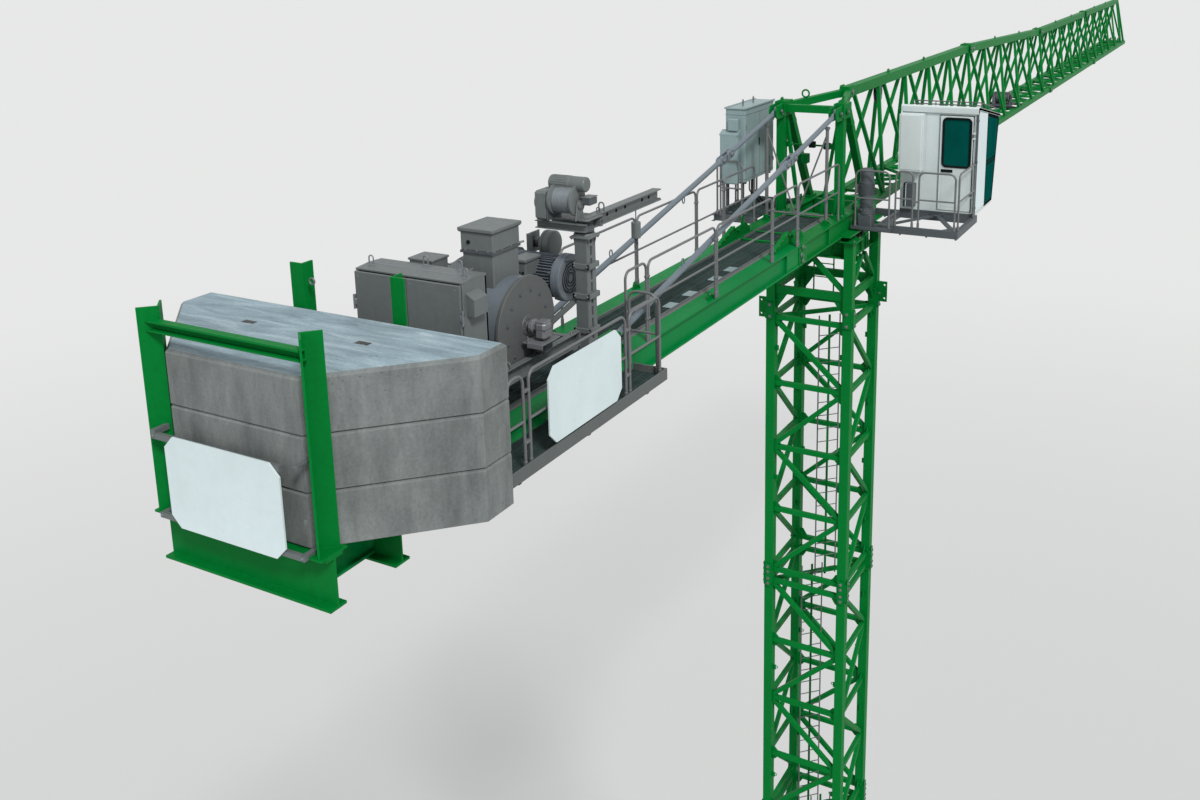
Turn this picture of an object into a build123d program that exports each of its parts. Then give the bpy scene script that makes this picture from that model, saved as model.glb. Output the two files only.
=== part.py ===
from build123d import *
import math
import os

# Tower crane with a low tower head, built at 1:2.
# Frame: origin on the mast axis at the underside of the anchor plate,
# +Y along the jib, +X to the right when looking along the jib, +Z up.
# Every length below is written in metres of the full-size crane and is
# multiplied by R, so the solids come out in millimetres of the 1:2 model.

os.makedirs("parts", exist_ok=True)

R = 500.0                      # model millimetres for one full-size metre

# ---- mast -------------------------------------------------------------
PLATE_HALF = 1.20              # anchor plate, half side
PLATE_T = 0.05
ANCHOR_AT = 1.05               # anchor bolt holes, from the axis
ANCHOR_R = 0.03
SHOE_TOP = 0.12
MAST_OUT = 0.875               # outer face of a leg
LEG = 0.18                     # leg side
LEG_C = MAST_OUT - LEG / 2     # leg centre
LEG_IN = MAST_OUT - LEG        # inner face of a leg
SECTION = 5.80                 # one mast section
SECTIONS = 5
MAST_TOP = SECTION * SECTIONS  # 29.0
HORIZ = [0.12, 1.5025, 2.885, 4.2675, 5.65]   # horizontals in a section
BAR_H = 0.10
BAR_D = 0.09
BRACE_T = 0.08
# ---- mast head and slewing ring --------------------------------------
HEAD_TOP = 30.54
SEAT_Z = 30.36
TABLE_Z = 30.18                # floor plate under the turntable
TABLE_R = 0.83
RING_OUT = (0.56, 0.69)
RING_IN = (0.43, 0.55)
DECK_BOT = 30.66
BEAM_TOP = 31.03
# ---- counter-jib ------------------------------------------------------
BEAM_C = 0.565                 # centre of an I-beam
BEAM_W = 0.28
BEAM_FT = 0.028
CJ_END = -15.04
SPLICE_Y = -3.26               # joint between counter-jib and slewing deck
BEAM_WALL = 0.085              # half width of the box between the flanges
XBEAM_Z = (30.63, 31.13)
XBEAM_HALF = 1.03
# ---- counterweight ----------------------------------------------------
BLOCK_BOT = 31.15
BLOCK_H = 0.52
BLOCK_GAP = 0.004
BLOCK_POLY = [(-1.87, -13.67), (1.87, -13.67), (1.87, -14.07), (0.80, -15.17),
              (-0.80, -15.17), (-1.87, -14.07)]
# ---- tower head -------------------------------------------------------
POST_X = 0.58
POST_Y = -0.87
NODE_Z = 33.06
# ---- jib --------------------------------------------------------------
JIB_Y0 = 1.25
JIB_Y = [1.25, 11.35, 21.70, 31.95, 42.20]
CHORD = 0.14
CHORD_X = 0.48
CHORD_Z = 30.83
TOP = 0.20
TOP_Z1 = 33.14
TOP_Z2 = 32.83
LACE = 0.07
PANELS = 5
# ---- cab --------------------------------------------------------------
CAB_X = (1.20, 2.65)
CAB_Y = (1.00, 2.93)
CAB_FOOT_Y = 2.51
CAB_Z = (30.82, 32.85)
DOOR_X = (1.95, 2.575)
DOOR_Z = (30.91, 32.77)
CAB_HINGE = (2.585, 0.985)
# ---- hoist winch ------------------------------------------------------
DRUM_Y = -11.61
DRUM_Z = 32.09
DRUM_R = 0.53
# ---- davit ------------------------------------------------------------
DAVIT = (0.805, -10.52)
DAVIT_TOP = 32.93
# ---- switch cabinet on the counter-jib -------------------------------
CAB2_X = 0.70
CAB2_Y = (-12.74, -12.325)
CAB2_Z = (31.10, 32.85)
DOOR2_Y = (-12.78, -12.75)
# ---- railings ---------------------------------------------------------
RAIL_T = 0.036
RAIL_R = 0.13


def block(x0, x1, y0, y1, z0, z1, mode=Mode.ADD):
    """A box between two corners, in full-size metres."""
    with Locations(((x0 + x1) / 2 * R, (y0 + y1) / 2 * R, (z0 + z1) / 2 * R)):
        Box(abs(x1 - x0) * R, abs(y1 - y0) * R, abs(z1 - z0) * R, mode=mode)


def rod(p, q, r, mode=Mode.ADD):
    """A round bar from p to q."""
    a, b = Vector(*p) * R, Vector(*q) * R
    with Locations(Plane(origin=(a + b) / 2, z_dir=b - a)):
        Cylinder(r * R, (b - a).length, mode=mode)


def beam(p, q, w, h, mode=Mode.ADD):
    """A rectangular bar from p to q: w across, h in the upright direction."""
    a, b = Vector(*p) * R, Vector(*q) * R
    along = (b - a).normalized()
    side = along.cross(Vector(0, 0, 1))
    if side.length < 1e-6:
        side = Vector(1, 0, 0)
    with Locations(Plane(origin=(a + b) / 2, x_dir=along, z_dir=side.cross(along))):
        Box((b - a).length, w * R, h * R, mode=mode)


def strip(u0, v0, u1, v1, w, offsets=((0.0, 0.0),)):
    """A straight flat bar in a sketch, repeated at the given offsets."""
    ang = math.degrees(math.atan2(v1 - v0, u1 - u0))
    length = math.hypot(u1 - u0, v1 - v0)
    spots = [Location((((u0 + u1) / 2 + du) * R, ((v0 + v1) / 2 + dv) * R, 0), (0, 0, ang))
             for du, dv in offsets]
    with Locations(*spots):
        Rectangle(length * R, w * R)


def rail(plane, u0, u1, z0, z1, mids=(0.5,)):
    """One railing panel: a bent hoop with rounded top corners and mid rails."""
    w, h, ext = u1 - u0, z1 - z0, 0.3
    with BuildSketch(plane) as sk:
        with Locations(((u0 + u1) / 2 * R, (z1 - (h + ext) / 2) * R)):
            RectangleRounded(w * R, (h + ext) * R, RAIL_R * R)
        with Locations(((u0 + u1) / 2 * R, (z1 - RAIL_T - (h + ext) / 2) * R)):
            RectangleRounded((w - 2 * RAIL_T) * R, (h + ext) * R, (RAIL_R - RAIL_T) * R,
                             mode=Mode.SUBTRACT)
        with Locations(((u0 + u1) / 2 * R, (z0 - ext) * R)):
            Rectangle((w + 1) * R, 2 * ext * R, mode=Mode.SUBTRACT)
        for m in mids:
            with Locations(((u0 + u1) / 2 * R, (z0 + h * m) * R)):
                Rectangle((w - RAIL_T) * R, 0.03 * R)
    extrude(sk.sketch, amount=RAIL_T / 2 * R, both=True)


def x_plane(x):
    """Upright plane at x: sketch right is +Y, sketch up is +Z."""
    return Plane(origin=(x * R, 0, 0), x_dir=(0, 1, 0), z_dir=(1, 0, 0))


def y_plane(y):
    """Upright plane at y: sketch right is +X, sketch up is +Z."""
    return Plane(origin=(0, y * R, 0), x_dir=(1, 0, 0), z_dir=(0, -1, 0))


def save(shape, name):
    shape.label = name
    export_step(shape, f"parts/{name}.step")


# ======================================================================
# Mast
# ======================================================================
with BuildPart() as base_plate:
    block(-PLATE_HALF, PLATE_HALF, -PLATE_HALF, PLATE_HALF, 0, PLATE_T)
    for sx in (-1, 1):
        for sy in (-1, 1):
            cx, cy = sx * LEG_C, sy * LEG_C
            block(sx * LEG_IN, sx * (MAST_OUT + 0.05), sy * LEG_IN, sy * (MAST_OUT + 0.05), PLATE_T, SHOE_TOP)
            block(cx + sx * 0.09, cx + sx * 0.35, cy - 0.012, cy + 0.012, PLATE_T, 0.42)
            block(cx - 0.012, cx + 0.012, cy + sy * 0.09, cy + sy * 0.35, PLATE_T, 0.42)
    with Locations((0, 0, PLATE_T / 2 * R)):
        with GridLocations(2 * ANCHOR_AT * R, 2 * ANCHOR_AT * R, 2, 2):
            Cylinder(ANCHOR_R * R, PLATE_T * R * 1.5, mode=Mode.SUBTRACT)
save(base_plate.part, "base_plate")

with BuildPart() as mast_legs:
    for sx in (-1, 1):
        for sy in (-1, 1):
            block(sx * LEG_IN, sx * MAST_OUT, sy * LEG_IN, sy * MAST_OUT, SHOE_TOP, MAST_TOP)
            for k in range(1, SECTIONS + 1):
                z = SECTION * k
                top = z + 0.18 if k < SECTIONS else z
                block(sx * LEG_IN, sx * (MAST_OUT + 0.015), sy * LEG_IN, sy * (MAST_OUT + 0.015),
                      z - 0.18, top)
save(mast_legs.part, "mast_legs")

for label, plane, first in (("rear", y_plane(-LEG_C), -1), ("front", y_plane(LEG_C), 1),
                            ("left", x_plane(-LEG_C), 1), ("right", x_plane(LEG_C), -1)):
    with BuildPart() as mast_bracing:
        with BuildSketch(plane):
            up = [(0, SECTION * k) for k in range(SECTIONS)]
            for z in HORIZ:
                strip(-LEG_IN, z, LEG_IN, z, BAR_H, up)
            for i in range(4):
                z0, z1 = HORIZ[i] + 0.04, HORIZ[i + 1] - 0.04
                s = first if i % 2 == 1 else -first
                strip(-s * (LEG_IN + 0.02), z0, s * (LEG_IN + 0.02), z1, BAR_D, up)
            with Locations((0, MAST_TOP / 2 * R)):
                Rectangle(2 * LEG_IN * R, MAST_TOP * R, mode=Mode.INTERSECT)
        extrude(amount=BRACE_T / 2 * R, both=True)
    save(mast_bracing.part, "mast_bracing_" + label)

# one level diagonal strut near the top of each section
STRUT_Z = [SECTION * k + HORIZ[4] for k in range(SECTIONS)]
with BuildPart() as mast_plan_struts:
    for z in STRUT_Z:
        beam((-0.74, -0.74, z), (0.74, 0.74, z), 0.06, 0.08)
    add(mast_legs.part, mode=Mode.SUBTRACT)
save(mast_plan_struts.part, "mast_plan_struts")

# ladders stand in the diagonal plane, in turn on either side of the struts
LADDER_W = 0.46
LADDER_OFF = 0.17              # shift along the diagonal
LADDER_N = 0.045               # shift across it
RUNG = 0.29
with BuildPart() as mast_ladder:
    for k in range(SECTIONS):
        s = 1 if k % 2 == 0 else -1
        z0 = SECTION * k - 0.27 if k else PLATE_T
        z1 = SECTION * (k + 1) + (0.06 if k < SECTIONS - 1 else -0.27)
        d, n = s * LADDER_OFF, -s * LADDER_N
        origin = ((d + n) / math.sqrt(2) * R, (d - n) / math.sqrt(2) * R, 0)
        with BuildSketch(Plane(origin=origin, x_dir=(1, 1, 0), z_dir=(1, -1, 0))):
            for u, w in ((-LADDER_W / 2, 0.022), (0, 0.045), (LADDER_W / 2, 0.022)):
                strip(u, z0, u, z1, w)
            steps = int((z1 - z0 - 0.3) / RUNG) + 1
            strip(-LADDER_W / 2, z0 + 0.15, LADDER_W / 2, z0 + 0.15, 0.02, [(0, RUNG * i) for i in range(steps)])
        extrude(amount=0.015 * R, both=True)
save(mast_ladder.part, "mast_ladder")

with BuildPart() as mast_head:
    for sx in (-1, 1):
        for sy in (-1, 1):
            block(sx * LEG_IN, sx * MAST_OUT, sy * LEG_IN, sy * MAST_OUT, MAST_TOP, HEAD_TOP)
            block(sx * LEG_IN, sx * (MAST_OUT + 0.015), sy * LEG_IN, sy * (MAST_OUT + 0.015),
                  MAST_TOP, MAST_TOP + 0.18)
            block(sx * 0.57, sx * 0.95, sy * 0.50, sy * 0.95, HEAD_TOP + 0.005, HEAD_TOP + 0.03)
            block(sx * LEG_IN, sx * MAST_OUT, sy * LEG_IN, sy * MAST_OUT, HEAD_TOP, HEAD_TOP + 0.03)
    # square floor plate under the round turntable
    block(-0.80, 0.80, -0.80, 0.80, TABLE_Z, TABLE_Z + 0.03)
    with Locations((0, 0, TABLE_Z * R)):
        Cylinder(0.62 * R, 0.5 * R, mode=Mode.SUBTRACT)
    for s in (-1, 1):
        for plane in (x_plane(s * LEG_C), y_plane(s * LEG_C)):
            with BuildSketch(plane):
                strip(-LEG_IN, 29.43, LEG_IN, 29.43, 0.16)
                for t in (-1, 1):
                    strip(t * 0.08, 30.12, t * (LEG_IN + 0.02), 29.50, BAR_D)
            extrude(amount=BRACE_T / 2 * R, both=True)
            with BuildSketch(plane):
                for t in (-1, 1):
                    with BuildLine():
                        Polyline((t * LEG_IN * R, 29.38 * R), (t * (LEG_IN - 0.25) * R, 29.38 * R),
                                 (t * LEG_IN * R, 29.02 * R), close=True)
                    make_face()
            extrude(amount=0.015 * R, both=True)
    # lugs with two holes on two opposite legs
    for sx, sy, z in ((-1, -1, 28.885), (1, 1, 29.02)):
        block(sx * (MAST_OUT + 0.005), sx * 1.06, sy * LEG_C - 0.015, sy * LEG_C + 0.015, z - 0.07, z + 0.35)
        block(sx * (MAST_OUT - 0.01), sx * (MAST_OUT + 0.03), sy * LEG_C - 0.015, sy * LEG_C + 0.015, MAST_TOP + 0.02, z + 0.35)
        for h in (z, z + 0.28):
            rod((sx * 1.01, sy * LEG_C - 0.1, h), (sx * 1.01, sy * LEG_C + 0.1, h), 0.022, Mode.SUBTRACT)
    # short ladder inside, facing the other way
    for x in (-0.388, 0.033):
        block(x - 0.012, x + 0.012, 0.488, 0.512, 29.02, TABLE_Z)
    for k in range(4):
        block(-0.388, 0.033, 0.491, 0.509, 29.10 + 0.29 * k, 29.118 + 0.29 * k)
    add(mast_legs.part, mode=Mode.SUBTRACT)
save(mast_head.part, "mast_head")

# round turntable on which the slewing ring is bolted
with BuildPart() as turntable:
    with BuildSketch(Plane.XY.offset((TABLE_Z + 0.03) * R)):
        Circle(TABLE_R * R)
        Circle((TABLE_R - 0.06) * R, mode=Mode.SUBTRACT)
    extrude(amount=(HEAD_TOP - TABLE_Z - 0.03) * R)
    with BuildSketch(Plane.XY.offset(SEAT_Z * R)):
        Circle((TABLE_R - 0.03) * R)
        Circle(0.50 * R, mode=Mode.SUBTRACT)
    extrude(amount=0.04 * R)
save(turntable.part, "turntable")

with BuildPart() as slewing_ring:
    with BuildSketch(Plane.XY.offset((SEAT_Z + 0.04) * R)):
        Circle(RING_OUT[1] * R)
        Circle(RING_OUT[0] * R, mode=Mode.SUBTRACT)
    extrude(amount=0.12 * R)
save(slewing_ring.part, "slewing_ring")

# ======================================================================
# Slewing deck, slewing drive and tower head
# ======================================================================
with BuildPart() as slewing_deck:
    block(-0.86, 0.86, -1.00, 1.00, DECK_BOT, DECK_BOT + 0.04)
    for s in (-1, 1):
        y0 = SPLICE_Y + 0.02
        block(s * (BEAM_C - 0.14), s * (BEAM_C + 0.14), y0, JIB_Y0, DECK_BOT, DECK_BOT + 0.03)
        block(s * (BEAM_C - 0.14), s * (BEAM_C + 0.14), y0, JIB_Y0, BEAM_TOP - 0.03, BEAM_TOP)
        block(s * (BEAM_C - BEAM_WALL), s * (BEAM_C + BEAM_WALL), y0, JIB_Y0, DECK_BOT + 0.02, BEAM_TOP - 0.02)
        # joint cheek with three pin heads, and a stiffener
        block(s * 0.64, s * 0.69, y0, -2.86, DECK_BOT + 0.02, BEAM_TOP - 0.02)
        for y, z in ((-3.095, 30.965), (-3.155, 30.84), (-3.095, 30.72)):
            rod((s * 0.68, y, z), (s * 0.735, y, z), 0.038)
        block(s * 0.64, s * 0.70, -1.74, -1.71, DECK_BOT + 0.02, BEAM_TOP - 0.02)
    for y0, y1 in ((-3.20, -3.10), (-2.68, -2.58), (-1.20, -1.10), (-0.95, -0.79), (0.62, 0.74), (1.13, JIB_Y0)):
        block(-0.46, 0.46, y0, y1, DECK_BOT + 0.06, BEAM_TOP - 0.03)
    with BuildSketch(Plane.XY.offset(30.43 * R)):
        Circle(RING_IN[1] * R)
    extrude(amount=(DECK_BOT - 30.43 + 0.02) * R)
    with Locations((0, 0, 30.60 * R)):
        Cylinder(RING_IN[0] * R, 0.6 * R, mode=Mode.SUBTRACT)
save(slewing_deck.part, "slewing_deck")

with BuildPart() as slewing_motor:
    block(0.80, 1.07, -0.455, -0.185, DECK_BOT + 0.04, 31.02)
    block(0.706, 0.80, -0.44, -0.20, DECK_BOT + 0.06, DECK_BOT + 0.14)
    for z0, z1, r in ((31.02, 31.10, 0.15), (31.10, 31.34, 0.125), (31.34, 31.62, 0.138), (31.62, 31.86, 0.13),
                      (31.86, 31.886, 0.10)):
        rod((0.937, -0.32, z0), (0.937, -0.32, z1), r)
    block(0.75, 0.82, -0.38, -0.26, 31.40, 31.56)
save(slewing_motor.part, "slewing_motor")

with BuildPart() as tower_head:
    for s in (-1, 1):
        x = s * POST_X
        block(x - 0.08, x + 0.08, POST_Y - 0.08, POST_Y + 0.08, BEAM_TOP, 33.00)
        block(x - 0.12, x + 0.12, POST_Y - 0.14, POST_Y + 0.14, BEAM_TOP, BEAM_TOP + 0.04)
        block(x - 0.10, x + 0.10, POST_Y - 0.13, POST_Y + 0.30, 32.94, 33.18)
        beam((x, -0.55, 33.05), (x, 0.70, BEAM_TOP), 0.13, 0.14)
        block(x - 0.09, x + 0.09, 0.55, 0.85, BEAM_TOP, BEAM_TOP + 0.04)
        for t in (-1, 1):
            block(x + t * 0.05, x + t * 0.075, -1.32, -0.95, 32.90, 33.14)
        beam((s * 0.54, -0.70, 33.07), (s * 0.05, 1.16, 33.12), 0.12, 0.14)
        beam((s * 0.53, -0.80, 32.98), (s * 0.22, -0.86, BEAM_TOP), 0.06, 0.06)
    block(-0.50, 0.50, POST_Y - 0.06, POST_Y + 0.06, 32.98, 33.12)
    block(-0.10, 0.10, 1.05, 1.30, 33.03, 33.25)
    block(-0.46, 0.46, POST_Y - 0.06, POST_Y + 0.06, BEAM_TOP - 0.03, BEAM_TOP + 0.02)
    block(-1.2, 1.2, -3, 3, 30.5, BEAM_TOP, Mode.SUBTRACT)
save(tower_head.part, "tower_head")

# ======================================================================
# Jib
# ======================================================================
t = TOP / 2
with BuildPart() as jib_top_chord:
    with BuildSketch(x_plane(0)):
        with BuildLine():
            Polyline(*[(y * R, z * R) for y, z in (
                (1.30, TOP_Z1 - t), (11.35, TOP_Z1 - t), (21.70, TOP_Z2 - t), (JIB_Y[-1], TOP_Z2 - t),
                (JIB_Y[-1], TOP_Z2 + t), (21.70, TOP_Z2 + t), (11.35, TOP_Z1 + t), (1.30, TOP_Z1 + t))],
                close=True)
        make_face()
    extrude(amount=t * R, both=True)
    for y, z in ((11.35, TOP_Z1), (21.70, TOP_Z2), (31.95, TOP_Z2)):
        block(-0.13, 0.13, y - 0.20, y + 0.20, z - 0.13, z + 0.13)
save(jib_top_chord.part, "jib_top_chord")

with BuildPart() as jib_bottom_chords:
    for s in (-1, 1):
        block(s * CHORD_X - CHORD / 2, s * CHORD_X + CHORD / 2, JIB_Y0, JIB_Y[-1],
              CHORD_Z - CHORD / 2, CHORD_Z + CHORD / 2)
        for y in JIB_Y[1:-1]:
            block(s * CHORD_X - 0.09, s * CHORD_X + 0.09, y - 0.18, y + 0.18, CHORD_Z - 0.09, CHORD_Z + 0.09)
save(jib_bottom_chords.part, "jib_bottom_chords")

for label, s in (("left", -1), ("right", 1)):
    with BuildPart() as jib_lacing:
        for k in range(len(JIB_Y) - 1):
            y0, y1 = JIB_Y[k], JIB_Y[k + 1]
            pitch = (y1 - y0) / PANELS
            zmid = TOP_Z1 if k == 0 else (TOP_Z2 if k > 1 else (TOP_Z1 + TOP_Z2) / 2)
            h = zmid - 0.06 - CHORD_Z
            run = CHORD_X - 0.062
            span = math.hypot(run, h)
            plane = Plane(origin=(s * CHORD_X * R, 0, CHORD_Z * R), x_dir=(0, 1, 0),
                          z_dir=(h, 0, s * run))
            with BuildSketch(plane):
                for i in range(PANELS):
                    yb = y0 + pitch * (i + 0.5)
                    for e in (0, 1):
                        yt = y0 + pitch * (i + e) + (0.18 if e == 0 else -0.18)
                        zt = zmid if k != 1 else TOP_Z1 + (TOP_Z2 - TOP_Z1) * (yt - y0) / (y1 - y0)
                        strip(yb, 0.0, yt, span * (zt - 0.06 - CHORD_Z) / h, LACE)
            extrude(amount=LACE / 2 * R, both=True)
        add(jib_bottom_chords.part, mode=Mode.SUBTRACT)
        add(jib_top_chord.part, mode=Mode.SUBTRACT)
        block(s * CHORD_X - 0.3, s * CHORD_X + 0.3, 1.0, 53, 30.5, CHORD_Z + CHORD / 2, Mode.SUBTRACT)
    save(jib_lacing.part, "jib_lacing_" + label)

INNER = CHORD_X - CHORD / 2
with BuildPart() as jib_bottom_lacing:
    with BuildSketch(Plane.XY.offset((CHORD_Z - 0.03) * R)):
        for k in range(len(JIB_Y) - 1):
            y0, y1 = JIB_Y[k], JIB_Y[k + 1]
            p = (y1 - y0 - 0.5) / 10
            step = [(0, y0 + 0.25 + 2 * p * j) for j in range(5)]
            strip(-INNER, 0, INNER, 0, 0.06, step)
            strip(-INNER - 0.02, 0.02, INNER + 0.02, p - 0.02, 0.06, step)
            strip(-INNER, p, INNER, p, 0.06, step)
            strip(INNER + 0.02, p + 0.02, -INNER - 0.02, 2 * p - 0.02, 0.06, step)
            strip(-INNER, y1 - 0.25, INNER, y1 - 0.25, 0.06)
        with Locations((0, 27 * R)):
            Rectangle(2 * INNER * R, 54 * R, mode=Mode.INTERSECT)
    extrude(amount=0.06 * R)
    add(jib_bottom_chords.part, mode=Mode.SUBTRACT)
save(jib_bottom_lacing.part, "jib_bottom_lacing")

with BuildPart() as jib_tip:
    Y = JIB_Y[-1]
    block(-0.55, 0.55, Y, Y + 0.10, 30.76, 30.90)
    for s in (-1, 1):
        beam((s * 0.46, Y + 0.05, 30.86), (s * 0.06, Y + 0.05, 32.86), 0.09, 0.09)
        block(s * 0.16, s * 0.19, Y + 0.10, Y + 0.75, 30.70, 31.00)
        block(s * 0.16, s * 0.20, Y + 0.02, Y + 0.12, 30.76, 30.96)
    block(-0.10, 0.10, Y, Y + 0.14, TOP_Z2 - 0.10, TOP_Z2 + 0.10)
    rod((-0.19, Y + 0.52, 30.85), (0.19, Y + 0.52, 30.85), 0.03)
    rod((-0.05, Y + 0.52, 30.85), (0.05, Y + 0.52, 30.85), 0.20)
    block(-2, 2, 40, Y, 30, 34, Mode.SUBTRACT)
save(jib_tip.part, "jib_tip")

with BuildPart() as jib_pulley_unit:
    for s in (-1, 1):
        block(s * 0.05, s * 0.07, 3.17, 3.37, 32.70, 33.04)
    rod((-0.07, 3.27, 32.80), (0.07, 3.27, 32.80), 0.03)
    rod((-0.03, 3.27, 32.80), (0.03, 3.27, 32.80), 0.16)
    block(-0.07, 0.07, 3.17, 3.37, 33.00, 33.04)
save(jib_pulley_unit.part, "jib_pulley_unit")

TW_Y, TW_Z = 16.50, 31.19
with BuildPart() as trolley_winch:
    for y in (16.08, 16.92):
        block(-0.50, 0.50, y - 0.05, y + 0.05, CHORD_Z + CHORD / 2, 30.95)
    block(-0.33, 0.33, 16.05, 16.95, 30.95, 30.97)
    block(-0.30, -0.20, 16.22, 16.78, 30.97, 31.30)
    rod((-0.25, TW_Y, TW_Z), (-0.20, TW_Y, TW_Z), 0.20)
    block(0.21, 0.29, 16.30, 16.70, 30.97, 31.30)
    rod((-0.20, 16.82, 31.10), (0.10, 16.82, 31.10), 0.09)
    block(-0.30, -0.20, 16.70, 16.92, 30.97, 31.20)
save(trolley_winch.part, "trolley_winch")

with BuildPart() as trolley_winch_drum:
    rod((-0.17, TW_Y, TW_Z), (0.18, TW_Y, TW_Z), 0.15)
    rod((-0.19, TW_Y, TW_Z), (-0.16, TW_Y, TW_Z), 0.185)
    rod((0.16, TW_Y, TW_Z), (0.19, TW_Y, TW_Z), 0.185)
save(trolley_winch_drum.part, "trolley_winch_drum")

# ======================================================================
# Counter-jib
# ======================================================================
with BuildPart() as counterjib_beams:
    for s in (-1, 1):
        c = s * BEAM_C
        block(c - 0.14, c + 0.14, CJ_END, SPLICE_Y, DECK_BOT, DECK_BOT + BEAM_FT)
        block(c - 0.14, c + 0.14, CJ_END, SPLICE_Y, BEAM_TOP - BEAM_FT, BEAM_TOP)
        block(c - BEAM_WALL, c + BEAM_WALL, CJ_END, SPLICE_Y, DECK_BOT, BEAM_TOP)
        block(s * 0.64, s * 0.68, -3.80, SPLICE_Y, DECK_BOT + 0.02, BEAM_TOP - 0.02)
        block(s * 0.64, s * 0.70, -3.83, -3.80, DECK_BOT + 0.02, BEAM_TOP - 0.02)
save(counterjib_beams.part, "counterjib_beams")

# cheeks that hold the lower ends of the tie bars, and brackets at the joint
with BuildPart() as counterjib_lugs:
    for s in (-1, 1):
        for x in (s * (POST_X - 0.075), s * (POST_X + 0.05)):
            block(min(x, x + s * 0.025), max(x, x + s * 0.025), -9.80, -9.46, BEAM_TOP, 31.36)
        with BuildSketch(x_plane(s * 0.50)):
            for pts in (((-4.05, BEAM_TOP), (-3.36, 31.27), (-3.29, 31.27), (-3.29, BEAM_TOP)),
                        ((-3.22, BEAM_TOP), (-3.22, 31.22), (-2.80, 31.24), (-2.62, 31.10), (-2.62, BEAM_TOP))):
                with BuildLine():
                    Polyline(*[(y * R, z * R) for y, z in pts], close=True)
                make_face()
        extrude(amount=0.015 * R, both=True)
save(counterjib_lugs.part, "counterjib_lugs")

with BuildPart() as counterjib_crossbeams:
    for y in (-15.14, -14.285):
        block(-XBEAM_HALF, XBEAM_HALF, y - 0.10, y + 0.10, XBEAM_Z[0], XBEAM_Z[0] + 0.025)
        block(-XBEAM_HALF, XBEAM_HALF, y - 0.10, y + 0.10, XBEAM_Z[1] - 0.03, XBEAM_Z[1])
        block(-XBEAM_HALF, XBEAM_HALF, y - 0.01, y + 0.01, XBEAM_Z[0], XBEAM_Z[1])
    for s in (-1, 1):
        c = s * BEAM_C
        block(c - 0.14, c + 0.14, -14.6, -14.0, DECK_BOT, BEAM_TOP, Mode.SUBTRACT)
save(counterjib_crossbeams.part, "counterjib_crossbeams")

# posts that hold the concrete blocks: two turned angles at the outer end
dx, dy = 1.07 / 1.5346, 1.10 / 1.5346
nx, ny = dy, -dx
with BuildPart() as counterweight_frame:
    for s in (-1, 1):
        ax, ay = 0.80 + 0.04 * dx + 0.012 * nx, -15.17 + 0.04 * dy + 0.012 * ny
        pts = [(0, 0), (0.20, 0), (0.20, 0.02), (0.02, 0.02), (0.02, 0.20), (0, 0.20)]
        with BuildSketch(Plane.XY.offset(BLOCK_BOT * R)):
            with BuildLine():
                Polyline(*[(s * (ax + a * dx + b * nx) * R, (ay + a * dy + b * ny) * R) for a, b in pts],
                         close=True)
            make_face()
        extrude(amount=(33.10 - BLOCK_BOT) * R)
        block(s * 0.79, s * 1.03, -15.30, -14.98, XBEAM_Z[1], BLOCK_BOT)
        # inner posts, standing on the main beams
        block(s * 0.56, s * 0.72, -13.655, -13.635, BEAM_TOP, 33.15)
        block(s * 0.56, s * 0.58, -13.655, -13.50, BEAM_TOP, 33.15)
        block(s * 0.53, s * 0.70, -13.665, -13.49, BEAM_TOP, BEAM_TOP + 0.02)
    block(-0.93, 0.93, -15.25, -15.165, 32.965, 32.985)
    block(-0.93, 0.93, -15.18, -15.165, 32.88, 32.985)
    block(-0.93, 0.93, -15.25, -15.165, 32.88, 32.895)
save(counterweight_frame.part, "counterweight_frame")

# angles that carry the rear plate
with BuildPart() as plate_frame:
    block(-0.89, 0.89, -15.35, -15.305, 31.13, 31.18)
    block(-0.89, 0.68, -15.35, -15.305, 31.905, 31.96)
    for s in (-1, 1):
        block(s * 0.84, s * 0.89, -15.35, -15.18, 31.13, 31.18)
        block(s * 0.60, s * 0.64, -15.35, -15.32, 31.15, 31.93)
    block(-0.89, -0.84, -15.35, -15.18, 31.94, 31.99)
    block(0.84, 0.89, -15.34, -15.18, 31.975, 31.995)
    add(counterweight_frame.part, mode=Mode.SUBTRACT)
save(plate_frame.part, "plate_frame")

for k, label in enumerate(("lower", "middle", "upper")):
    z0 = BLOCK_BOT + BLOCK_H * k
    with BuildPart() as counterweight_block:
        with BuildSketch(Plane.XY.offset(z0 * R)):
            with BuildLine():
                Polyline(*[(x * R, y * R) for x, y in BLOCK_POLY], close=True)
            make_face()
        extrude(amount=(BLOCK_H - BLOCK_GAP) * R)
        chamfer(counterweight_block.part.faces().sort_by(Axis.Z)[-1].edges(), 0.03 * R)
        if label == "upper":
            for s in (-1, 1):
                block(s * 0.63, s * 0.79, -14.29, -14.21, z0 + BLOCK_H - 0.10, z0 + BLOCK_H + 0.1, Mode.SUBTRACT)
    save(counterweight_block.part, "counterweight_block_" + label)

def cut_corner_plate(plane, u0, u1, v0, v1, c, thick):
    with BuildSketch(plane) as sk:
        with BuildLine():
            Polyline(*[(u * R, v * R) for u, v in (
                (u0 + c, v0), (u1 - c, v0), (u1, v0 + c), (u1, v1 - c), (u1 - c, v1),
                (u0 + c, v1), (u0, v1 - c), (u0, v0 + c))], close=True)
        make_face()
    extrude(sk.sketch, amount=thick * R)


with BuildPart() as blank_plates:
    cut_corner_plate(y_plane(-15.352), -0.70, 0.70, 31.10, 31.98, 0.11, 0.02)
    cut_corner_plate(x_plane(1.281), -12.15, -10.60, 30.99, 31.85, 0.12, 0.02)
save(blank_plates.part, "blank_plates")

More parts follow.
